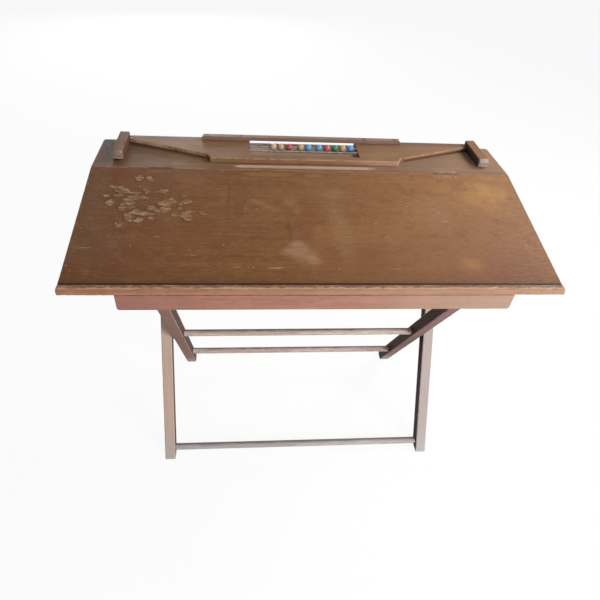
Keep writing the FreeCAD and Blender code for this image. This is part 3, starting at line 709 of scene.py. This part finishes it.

# %% [markdown]
# ## Ledge
# The level board behind the lid is greyer, dark at its left end, with rubbed edges. The groove is painted
# pale, a painted highlight where its far side faces the light, and under the bead window the ledge is
# painted paler. The groove is cut in the solid, so the finish only has to find it, by its depth and by how
# far it is from the groove's middle line.

# %% Ledge
GROOVE_AHEAD = 0.0392
ledge = Wood("ledge_wood", (116, 87, 64), (137, 106, 80), (154, 122, 94), centre_of("rear_ledge"), gloss=0.12)
ledge.lay(ledge.fade("X", 0.0, 0.35), (162, 130, 106), 0.55)
ledge.lay(ledge.fade("X", -0.2, -0.34), (70, 46, 33), 0.72)
ledge.lay(ledge.fade("Y", -0.034, -0.050), (126, 86, 60), 0.5)
from_middle = ledge.math("ABSOLUTE", ledge.axis("X"))
from_groove = ledge.math("ABSOLUTE", ledge.math("ADD", ledge.axis("Y"), GROOVE_AHEAD))
groove = ledge.both(ledge.fade("Z", 0.0039, 0.0030), ledge.ease(from_groove, 0.0062, 0.0052))
# The groove painted pale: a painted highlight on its far side, which faces the light.
ledge.lay((groove, ledge.ease(from_middle, 0.122, 0.118)), (196, 166, 148), 0.8)
# Paler under the bead window.
ledge.lay((ledge.ease(from_middle, 0.100, 0.095), ledge.fade("Y", -0.016, -0.012)), (170, 144, 126), 0.6)
ledge.lay(ledge.arris(half_of("rear_ledge"), 0.0022), (176, 144, 118), 0.5)
dress(ledge.close(), "rear_ledge")
print("ledge finish:", len(ledge.tree.nodes), "nodes")

# %% [markdown]
# ## Gallery
# The low board on the ledge has a window for the beads, a deep middle and two wings that taper to the end
# brackets. Its front edges are chipped pale, with a painted highlight along the front at the right. Painted
# shade darkens the lower half of the wings' front edges and the board along the strip at its back. The
# left wing's edge is pale, partly rubbed and partly painted light. No fade along one direction follows a
# slanted edge, so the equation of its line finds it.

# %% Gallery board
# The wings' front edge, from the board's middle: y = WING_TAPER * |x| - WING_START
WING_TAPER, WING_START = 0.3824, 0.0927
board = Wood("gallery_wood", (118, 84, 56), (135, 101, 69), (153, 117, 84), centre_of("gallery_board"),
             gloss=0.12)
board.lay(board.fade("X", 0.0, 0.3), (158, 122, 94), 0.5)
# Darker along the back, in front of the strip: painted shadow of the strip.
board.lay(board.fade("Y", 0.018, 0.029), (106, 82, 72), 0.6)
# A pale band along the front at the right: a painted highlight.
board.lay((board.fade("Y", -0.0375, -0.0388), board.fade("X", 0.02, 0.16)), (190, 152, 126), 0.55)
board.lay(board.knocked(), (182, 150, 122), 0.55)
sideways = board.math("ABSOLUTE", board.axis("X"))
wings = board.ease(sideways, 0.168, 0.176)
# The lower half of the wings' front edges darkened: painted shade under them.
board.lay((wings, board.fade("Z", 0.0012, -0.0010)), (74, 52, 44), 0.8)
wing_line = board.math("MULTIPLY_ADD", sideways, -WING_TAPER, WING_START)
wing_edge = board.ease(board.math("ADD", board.axis("Y"), wing_line), 0.0030, 0.0016)
# The left wing's front edge made pale: partly rubbed, partly painted light.
left_top = board.both(wings, board.fade("X", 0.0, -0.1), board.fade("Z", -0.0018, 0.0004))
worn_and_lit_edge = board.patches((0.014, 0.010, 0.010), 4.0, 0.7, 0.36, 0.56)
board.lay((wing_edge, left_top, worn_and_lit_edge), (206, 164, 134), 0.75)
worn_copy("gallery_board", board.close(), (1, 0, 0), step=0.006, soften=0.0008, knock=0.0007, seed=5)

# %% [markdown]
# A strip is nailed along the gallery's back, and its wood has gone dark round the nails. Its front face is
# darker, which is painted shade. The four nails stand in two pairs, so folding the length with an absolute
# value, three times, lays them all on one spot. The end brackets are worn grey in front. Their tops are
# lighter, most on the right, which is painted light, and the right one's inner side is nearly black, which
# is painted shade.

# %% Strip and brackets
NAIL_PAIR, NAIL_OFF = 0.1395, 0.0285
BRACKET_MIDDLE = (0, 0.138, 0.502)
strip = Wood("strip_wood", (122, 96, 82), (148, 120, 104), (166, 140, 122), centre_of("gallery_strip"))
# Darker front face: painted shade.
strip.lay(strip.fade("Y", -0.0040, -0.0048), (116, 90, 80), 0.5)
from_nail = strip.math("ABSOLUTE", strip.axis("X"))
for offset in (NAIL_PAIR, NAIL_OFF):
    from_nail = strip.math("ABSOLUTE", strip.math("SUBTRACT", from_nail, offset))
nail_place = strip.node("CombineXYZ", {"X": from_nail, "Y": strip.axis("Y")})
from_nail = strip.node("VectorMath", {0: nail_place}, out="Value", operation="LENGTH")
strip.lay(strip.ease(from_nail, 0.0052, 0.0022), (62, 42, 34), 0.8)
strip.lay(strip.knocked(), (176, 146, 122), 0.6)
worn_copy("gallery_strip", strip.close(), (1, 0, 0), step=0.006, soften=0.0005, knock=0.0005, seed=7)

ends = Wood("bracket_wood", (98, 68, 48), (118, 84, 62), (140, 106, 82), BRACKET_MIDDLE, gloss=0.12,
            along="Y")
to_right = ends.fade("X", -0.3, 0.3)
ends.lay(ends.fade("X", 0.0, -0.1), (78, 50, 34), 0.5)
# Tops lighter, most on the right: painted light.
ends.lay(ends.fade("Z", 0.0058, 0.0070), ends.mix(to_right, (104, 70, 46), (152, 108, 72)), 0.55)
# The right bracket's inner side nearly black: painted shade, as it faces away from the light.
shaded_inner_side = ends.both(ends.fade("Z", 0.0068, 0.0056), ends.fade("X", 0.312, 0.308), ends.fade("X", 0.0, 0.1))
ends.lay(shaded_inner_side, (38, 16, 8), 0.85)
ends.lay(ends.fade("Y", -0.031, -0.0385), ends.mix(to_right, (136, 114, 99), (150, 139, 134)), 0.8)
ends.lay(ends.knocked(), (186, 160, 138), 0.6)
bracket_wood = ends.close()
for side, seed in (("left", 11), ("right", 13)):
    worn_copy(f"bracket_{side}", bracket_wood, (0, 1, 0), step=0.005, soften=0.0007, knock=0.0005, seed=seed)

# %% [markdown]
# ## Box
# The rails, blocks, battens and floor of the box were stained once and handled little. The grain follows
# each piece's length, so the side rails and battens need their own finishes. One function makes them, and
# only the two long rails that show from behind and below have rubbed edges.

# %% Box
def plain_wood(name, along, centre=(0, 0, 0), turn=0.0, half=None):
    """The box's wood: one stain, little wear."""
    wood = Wood(name, (110, 78, 58), (128, 94, 72), (146, 112, 88), centre, turn, (0.5, 0.7), along=along)
    if half:
        wood.lay(wood.arris(half, 0.0018), (164, 132, 106), 0.5)
    return wood.close()


for node in ("back_rail", "pivot_rail"):
    dress(plain_wood(f"{node}_wood", "X", centre_of(node), half=half_of(node)), node)
dress(plain_wood("side_rail_wood", "Y"), "side_rail_left", "side_rail_right")
dress(plain_wood("block_wood", "Z"), "corner_blocks")
dress(plain_wood("rest_wood", "X"), "rear_rest_left", "rear_rest_right")
dress(plain_wood("batten_wood", "Y", lid_centre, SLOPE), "lid_batten_left", "lid_batten_right")

panel = Wood("panel_wood", (150, 116, 84), (170, 136, 102), (188, 156, 122), rough=(0.6, 0.8))
ink = panel.patches(0.05, 4.0, 0.6, 0.64, 0.72)
panel.lay(ink, (66, 58, 62), 0.5)
dress(panel.close(), "bottom_panel")
print("box dressed")

# %% [markdown]
# ## Legs
# The legs are flat bars that lean both ways from their crossing. Their wood is paler and pinker on the
# front faces, partly worn and partly painted light, most on the outer legs, whose fronts turn up to the
# lamps. It is darker at the sides, most of all to the right, which is painted shade, and grey at the feet.
# The pattern is turned with the leg, so that the grain runs along it and one fade finds its front face.

# %% Legs
LEAN = math.atan2(125, 210)
CROSSING = (0.0, -0.0215, 0.210)


def leg_wood(name, lean, front_worn_and_lit, share, right, right_share):
    """Grain along a leaning leg, with a pale front face, partly worn and partly painted light, painted shade
    to the right, chipped arrises and scuffed feet.
    """
    wood = Wood(name, (70, 48, 40), (85, 62, 52), (103, 78, 66), CROSSING, lean, (0.5, 0.72), 0.08, "Z")
    to_right = wood.fade("X", -0.1, 0.25)
    # Darker to the right: painted shade on the right legs, whose visible sides face away from the light.
    wood.lay(to_right, (42, 20, 10), 0.7)
    wood.lay(wood.fade("Y", 0.0086, 0.0104), (128, 94, 77), 0.75)
    face = wood.fade("Y", -0.0086, -0.0104)
    # A pale front face: partly worn, partly painted light, paler on the outer legs that face up to the lamps.
    wood.lay(face, front_worn_and_lit, share)
    streak = wood.patches((0.006, 0.006, 0.10), 4.0, 0.65, 0.46, 0.66)
    wood.lay((face, streak), linear(front_worn_and_lit, 0.74), 0.5)
    wood.lay((face, to_right), right, right_share)
    wood.lay(wood.patches((0.010, 0.010, 0.03), 3.0, 0.6, 0.66, 0.76), (92, 66, 56), 0.45)
    low = wood.ease(wood.axis("Z", wood.here), 0.06, 0.0)
    wood.lay((low, face), (172, 168, 168), 0.65)
    wood.lay(wood.knocked(), (196, 174, 160), 0.28)
    return wood.close()


outer_wood = leg_wood("outer_leg_wood", -LEAN, (202, 176, 162), 0.85, (162, 154, 155), 0.7)
inner_wood = leg_wood("inner_leg_wood", LEAN, (143, 108, 96), 0.7, (116, 96, 104), 0.36)
rising = Vector((0, math.sin(LEAN), math.cos(LEAN)))
falling = Vector((0, -math.sin(LEAN), math.cos(LEAN)))
leg_wear = {"step": 0.01, "soften": 0.0007, "knock": 0.0006}
for side, seed in (("left", 17), ("right", 19)):
    worn_copy(f"outer_leg_{side}", outer_wood, rising, **leg_wear, seed=seed, slot="leg_wood")
    worn_copy(f"inner_leg_{side}", inner_wood, falling, **leg_wear, seed=seed + 4, slot="leg_wood")

# %% [markdown]
# ## Rungs
# The rungs are round dowels, rubbed by shoes at the front and darker on top and behind, which is painted
# shade. The lowest is greyest. A dowel has no edge between front and back, so a slanted measure across it
# says where the painted shade begins.

# %% Rungs
def rung_wood(node):
    """A dowel: pale where shoes rub its front, with painted shade along its top and back."""
    wood = Wood(f"{node}_wood", (160, 141, 133), (183, 165, 157), (203, 188, 181), centre_of(node),
                rough=(0.5, 0.7))
    wood.lay(wood.patches((0.04, 0.005, 0.005), 4.0, 0.65, 0.50, 0.66), (208, 195, 188), 0.6)
    uneven = wood.wobble(0.0008, (0.03, 0.01, 0.01), 3.0)
    back = wood.math("MULTIPLY_ADD", wood.axis("Y"), 0.75, uneven)
    shaded_half = wood.math("MULTIPLY_ADD", wood.axis("Z"), 0.66, back)
    # Darker on top and behind: painted shade, as the light comes from the front.
    wood.lay(wood.ease(shaded_half, 0.0018, 0.0042), (84, 66, 58), 0.8)
    wood.lay(wood.patches((0.014, 0.004, 0.004), 3.0, 0.65, 0.66, 0.74), (104, 82, 72), 0.45)
    if node == "outer_foot_rung":
        wood.lay(1.0, (146, 158, 166), 0.35)
    return wood.close()


rungs = ("inner_foot_rung", "cross_pivot_rung", "outer_foot_rung", "outer_top_rung")
for node in rungs:
    dress(rung_wood(node), node)
print(len(rungs), "rungs dressed")

# %% [markdown]
# ## Metal
# The hinges are thin leaves, browned by age and let in flush, so only their outlines show, darkened with
# painted shade as if in a gap. A leaf is level with its wood, so its outline is worked out from the hinge's
# middle. Screws, washers and rods are plain steel with dull patches and a little rust, which is browner and
# rougher than the metal.

# %% Metal
HINGE_X, PIN_Y = 0.240, 0.0741


def old_metal(name, clean, dull, rust, metallic, rough, rust_from=0.56):
    """Aged metal: dull patches and rust."""
    metal = Finish(name, metallic=metallic)
    metal.colour = metal.mix(metal.patches(0.006, 3.0, 0.6, 0.35, 0.65), clean, dull)
    rusty = metal.patches(0.003, 4.0, 0.7, rust_from, rust_from + 0.12)
    metal.lay(rusty, rust, 0.8)
    metal.rough = metal.math("MULTIPLY_ADD", rusty, 0.25, metal.span(metal.noise(0.002), *rough))
    metal.height = metal.math("ADD", metal.noise(0.0008), rusty)
    return metal.close(0.0001, 0.3)


def hinge_brown(name, left, right, share):
    """Leaves browned almost to the wood's colour, with painted shade along their outlines, and dark at the
    knuckles.
    """
    leaf = Finish(name, gloss=0.2, metallic=0.2)
    leaf.colour = leaf.mix(leaf.fade("X", -0.26, 0.26), left, right)
    leaf.lay(leaf.patches((0.010, 0.004, 0.004), 4.0, 0.65, 0.48, 0.66), (92, 68, 54), 0.35)
    sideways = leaf.math("ABSOLUTE", leaf.axis("X"))
    from_end = leaf.math("ABSOLUTE", leaf.math("SUBTRACT", sideways, HINGE_X))
    from_pin = leaf.math("ABSOLUTE", leaf.math("SUBTRACT", leaf.axis("Y"), PIN_Y))
    outline = leaf.math("MAXIMUM", leaf.ease(from_end, 0.0180, 0.0187), leaf.ease(from_pin, 0.0119, 0.0126))
    # Dark outline: painted shade, as if in the gap round a leaf let in flush.
    leaf.lay(outline, (48, 34, 28), share)
    leaf.lay(leaf.ease(from_pin, 0.0026, 0.0016), (66, 48, 40), 0.5)
    leaf.rough = leaf.span(leaf.noise(0.002), 0.58, 0.74)
    leaf.height = leaf.noise(0.0012, 3.0)
    return leaf.close(0.0001, 0.3)


iron = hinge_brown("ledge_leaf_iron", (126, 98, 76), (158, 127, 104), 0.3)
lid_iron = hinge_brown("lid_leaf_iron", (130, 93, 64), (150, 110, 76), 0.35)
steel = old_metal("screw_steel", (150, 146, 140), (112, 106, 100), (110, 68, 44), 0.9, (0.3, 0.5))
rod = old_metal("rod_steel", (158, 148, 138), (128, 116, 106), (112, 76, 56), 0.6, (0.4, 0.55))
nail = old_metal("nail_iron", (70, 56, 48), (52, 40, 34), (84, 52, 36), 0.4, (0.5, 0.7), rust_from=0.5)
dress(iron, "hinge_ledge_leaf_left", "hinge_ledge_leaf_right", "hinge_pin_left", "hinge_pin_right")
dress(lid_iron, "hinge_lid_leaf_left", "hinge_lid_leaf_right")
dress(nail, "gallery_nails")
dress(steel, "pivot_washers", "cross_washers")
dress(rod, "bead_rod", "spare_rod")
print("metal dressed")

# %% [markdown]
# ## Trees that grow pieces
# Screws and beads repeat. A loop could copy them, but a Geometry Nodes tree keeps one shape with named
# sizes. It runs as a modifier on a mesh of places, and what it made is kept as a plain mesh, because the
# export drops instances.

# %% Trees
SOCKETS = {float: "NodeSocketFloat", int: "NodeSocketInt", tuple: "NodeSocketVector",
           bpy.types.Material: "NodeSocketMaterial"}


def new_tree(name, **values):
    """A Geometry Nodes tree with named inputs; gives the tree, its inputs and its output."""
    tree = bpy.data.node_groups.new(name, "GeometryNodeTree")
    for way in ("INPUT", "OUTPUT"):
        tree.interface.new_socket("Geometry", in_out=way, socket_type="NodeSocketGeometry")
    for label, value in values.items():
        tree.interface.new_socket(label.replace("_", " "), in_out="INPUT", socket_type=SOCKETS[type(value)])
    return tree, tree.nodes.new("NodeGroupInput").outputs, tree.nodes.new("NodeGroupOutput").inputs[0]


def close_tree(tree, shape, given, result):
    """Make a tree's shape real and give it the tree's material."""
    shape = wire(tree, "GeometryNodeRealizeInstances", {0: shape})
    shape = wire(tree, "GeometryNodeSetMaterial", {"Geometry": shape, "Material": given["Material"]})
    tree.links.new(shape, result)


def grow(tree, name, start, values):
    """Run a tree on a mesh, with its inputs set, and keep the result as a plain mesh."""
    holder = bpy.data.objects.new(name, start)
    scene.collection.objects.link(holder)
    modifier = holder.modifiers.new("grow", "NODES")
    modifier.node_group = tree
    for item in tree.interface.items_tree:
        if item.in_out == "INPUT" and item.name in values:
            modifier[item.identifier] = values[item.name]
    seen = holder.evaluated_get(bpy.context.evaluated_depsgraph_get())
    mesh = bpy.data.meshes.new_from_object(seen)
    holder.modifiers.remove(modifier)
    holder.data = mesh
    mesh.name = name
    return holder


print("inputs of a tree:", ", ".join(SOCKETS.values()))

# %% [markdown]
# ## Slotted screws
# The hinge screws and the two pivot screws are the same thing at two sizes: a low dome with a slot, which
# is cut so that it holds a shadow. The tree makes one head and puts it on every point of a small mesh,
# facing the way that the point's own attribute says, with its slot turned at random from a fixed seed.

# %% Slotted heads
screws, given, result = new_tree(
    "slotted_heads", Radius=0.0, Rise=0.0, Slot_width=0.0, Slot_depth=0.0, Seed=1, Material=iron)
head_node = partial(wire, screws)
dome = head_node("GeometryNodeMeshUVSphere", {"Segments": 24, "Rings": 12, "Radius": 1.0})
squat = head_node("ShaderNodeCombineXYZ", {"X": given["Radius"], "Y": given["Radius"], "Z": given["Rise"]})
dome = head_node("GeometryNodeTransform", {"Geometry": dome, "Scale": squat})
slot_high = head_node("ShaderNodeMath", {0: given["Slot depth"], 1: 2.0}, operation="MULTIPLY")
slot_long = head_node("ShaderNodeMath", {0: given["Radius"], 1: 2.4}, operation="MULTIPLY")
slot_size = head_node("ShaderNodeCombineXYZ", {"X": slot_long, "Y": given["Slot width"], "Z": slot_high})
cutter = head_node("GeometryNodeMeshCube", {"Size": slot_size})
raised = head_node("ShaderNodeCombineXYZ", {"Z": given["Rise"]})
cutter = head_node("GeometryNodeTransform", {"Geometry": cutter, "Translation": raised})
head = head_node("GeometryNodeMeshBoolean", {0: dome, 1: cutter}, operation="DIFFERENCE")
facing = head_node("GeometryNodeInputNamedAttribute", {"Name": "facing"}, data_type="FLOAT_VECTOR")
stand = head_node("FunctionNodeAlignRotationToVector", {"Vector": facing}, axis="Z")
half_turn = {2: 0.0, 3: math.pi, "Seed": given["Seed"]}
spin = head_node("FunctionNodeRandomValue", half_turn, out=1, data_type="FLOAT")
spin = head_node("FunctionNodeAxisAngleToRotation", {"Axis": (0, 0, 1), "Angle": spin})
stand = head_node("FunctionNodeRotateRotation", {0: stand, 1: spin}, rotation_space="LOCAL")
on_points = {"Points": given["Geometry"], "Instance": head, "Rotation": stand}
heads = head_node("GeometryNodeInstanceOnPoints", on_points)
close_tree(screws, heads, given, result)
print("slotted heads:", len(screws.nodes), "nodes")

# %% [markdown]
# Each head stands at the outer end of a CAD screw. A node's screws are its loose parts, put in order from
# left to right, so that the random turns fall the same way at every run.

# %% Screws
def loose_parts(node):
    """The points of each separate solid of a node."""
    work = bmesh.new()
    work.from_mesh(nodes[node].data)
    bmesh.ops.remove_doubles(work, verts=work.verts, dist=MERGE)
    found, parts = set(), []
    for first in work.verts:
        part, edge = [], [first]
        while edge:
            vert = edge.pop()
            if vert not in found:
                found.add(vert)
                part.append(vert.co.copy())
                edge.extend(link.other_vert(vert) for link in vert.link_edges)
        if part:
            parts.append(part)
    work.free()
    return parts


def screw_heads(node, facing_of, sizes, material, seed, sink=0.0):
    """Slotted heads in place of a node of CAD screws, at the outer end of each."""
    places = []
    for part in loose_parts(node):
        centre = sum(part, Vector()) / len(part)
        way = facing_of(centre)
        outermost = max((point - centre).dot(way) for point in part)
        places.append((centre + way * (outermost - sink), way))
    places.sort(key=lambda place: place[0].x)
    points = bpy.data.meshes.new(f"{node}_places")
    points.from_pydata([spot for spot, way in places], [], [])
    directions = points.attributes.new("facing", "FLOAT_VECTOR", "POINT")
    for index, (spot, way) in enumerate(places):
        directions.data[index].vector = way
    heads = grow(screws, f"{node}_heads", points, {**sizes, "Seed": seed, "Material": material})
    stand_for(heads, node)
    print(f"{heads.name}: {len(places)} heads, {len(heads.data.polygons)} faces")


hinge_head = {"Radius": 0.0026, "Rise": 0.0006, "Slot width": 0.0006, "Slot depth": 0.0004}
screw_heads("hinge_ledge_screws", lambda centre: Vector((0, 0, 1)), hinge_head, iron, 21)
screw_heads("hinge_lid_screws", lambda centre: outward, hinge_head, lid_iron, 22)

# %% [markdown]
# ## Beads
# Ten turned beads slide on the rod, painted long ago. A bead is a ball with a straight bore, so the tree
# bends a flat grid twice: out over the ball and back through the bore, and round the rod. One tree makes
# every bead, each for its own body, because each slides by itself.

# %% Bead tree
WELD = 0.00001
beads, given, result = new_tree(
    "turned_bead", Radius=0.0, Bore=0.0, Half_length=0.0, Centre=(0.0, 0.0, 0.0), Material=iron)
bead_node = partial(wire, beads)
grid = bead_node("GeometryNodeMeshGrid", {"Size X": 1.0, "Size Y": 1.0, "Vertices X": 41, "Vertices Y": 29})
flat_place = bead_node("GeometryNodeInputPosition", {})
round_turn = bead_node("ShaderNodeSeparateXYZ", {0: flat_place}, out=0)
oval_turn = bead_node("ShaderNodeSeparateXYZ", {0: flat_place}, out=1)


def bead_math(operation, *values):
    return bead_node("ShaderNodeMath", dict(enumerate(values)), operation=operation)


def turned(kind, value):
    """The sine or cosine of a share of a full turn."""
    return bead_math(kind, bead_math("MULTIPLY", value, math.tau))


thick = bead_math("SUBTRACT", given["Radius"], given["Bore"])
bulge = bead_math("MAXIMUM", turned("COSINE", oval_turn), 0.0)
away = bead_math("ADD", given["Bore"], bead_math("MULTIPLY", thick, bulge))
bent = bead_node("ShaderNodeCombineXYZ", {
    "X": bead_math("MULTIPLY", given["Half length"], turned("SINE", oval_turn)),
    "Y": bead_math("MULTIPLY", away, turned("COSINE", round_turn)),
    "Z": bead_math("MULTIPLY", away, turned("SINE", round_turn))})
bent = bead_node("ShaderNodeVectorMath", {0: bent, 1: given["Centre"]}, operation="ADD")
skin = bead_node("GeometryNodeSetPosition", {"Geometry": grid, "Position": bent})
skin = bead_node("GeometryNodeMergeByDistance", {"Geometry": skin, "Distance": WELD})
skin = bead_node("GeometryNodeSetShadeSmooth", {"Geometry": skin})
close_tree(beads, skin, given, result)
print("turned bead:", len(beads.nodes), "nodes")

# %% [markdown]
# The paint is uneven, chipped to wood in places and thin at the hole. Each bead has its own finish,
# centred on it, so that the thin paint follows the hole. The colours run from left to right.

# %% Beads
BEAD_BORE = 0.0012
PAINTS = {"natural": (196, 172, 134), "cream": (186, 156, 112), "red": (168, 52, 66),
          "blue": (84, 156, 214), "pink": (196, 84, 92), "green": (34, 118, 80)}
ROW = ("natural", "cream", "red", "cream", "blue", "blue", "pink", "green", "cream", "blue")


def bead_paint(name, paint, centre):
    """Old paint on a turned bead, thin at the hole and chipped to wood."""
    coat = Finish(name, centre)
    coat.colour = coat.mix(coat.patches(0.004, 2.0, 0.5, 0.3, 0.7), paint, linear(paint, 0.72))
    chips = coat.patches(0.0022, 3.0, 0.6, 0.64, 0.69)
    coat.lay(chips, (196, 168, 128), 0.9)
    rim = coat.ease(coat.math("ABSOLUTE", coat.axis("X")), 0.0046, 0.0056)
    coat.lay(rim, (150, 124, 96), 0.7)
    coat.rough = coat.math("MULTIPLY_ADD", chips, 0.35, coat.span(coat.noise(0.001), 0.2, 0.34))
    coat.height = coat.math("SUBTRACT", coat.noise((0.0006, 0.004, 0.004)), chips)
    return coat.close(0.0001, 0.3)


def face_outward(mesh):
    """Turn a closed mesh's faces outwards, which bending the grid does not see to."""
    work = bmesh.new()
    work.from_mesh(mesh)
    bmesh.ops.recalc_face_normals(work, faces=work.faces)
    work.to_mesh(mesh)
    work.free()


for count, colour in enumerate(ROW, start=1):
    node = f"bead_{count:02d}"
    centre, half = centre_of(node), half_of(node)
    seed_mesh = bpy.data.meshes.new(f"{node}_place")
    seed_mesh.from_pydata([centre], [], [])
    paint = bead_paint(f"{node}_paint", PAINTS[colour], centre)
    sizes = {"Radius": half[2], "Bore": BEAD_BORE, "Half length": half[0], "Centre": centre}
    bead = grow(beads, f"turned_{node}", seed_mesh, {**sizes, "Material": paint})
    face_outward(bead.data)
    stand_for(bead, node)
print(len(ROW), "beads of", len(bead.data.polygons), "faces")

# %% [markdown]
# ## Pivot screws
# The inner legs turn on two large screws. They are the same slotted heads, facing outwards along the
# desk, so the tree runs again with larger sizes.

# %% Pivot screws
pivot_head = {"Radius": 0.0065, "Rise": 0.0023, "Slot width": 0.0012, "Slot depth": 0.0012}


def sideways_out(centre):
    """Away from the desk's middle."""
    return Vector((math.copysign(1, centre.x), 0, 0))


screw_heads("pivot_screws", sideways_out, pivot_head, steel, 23, sink=pivot_head["Rise"])

# %% [markdown]
# ## Nodes without a finish
# Every node should have a finish, so the nodes that have none are listed.

# %% Nodes without a finish
unseen = [name for name, thing in nodes.items() if not thing.data.materials]
print("nodes without a finish:", unseen)
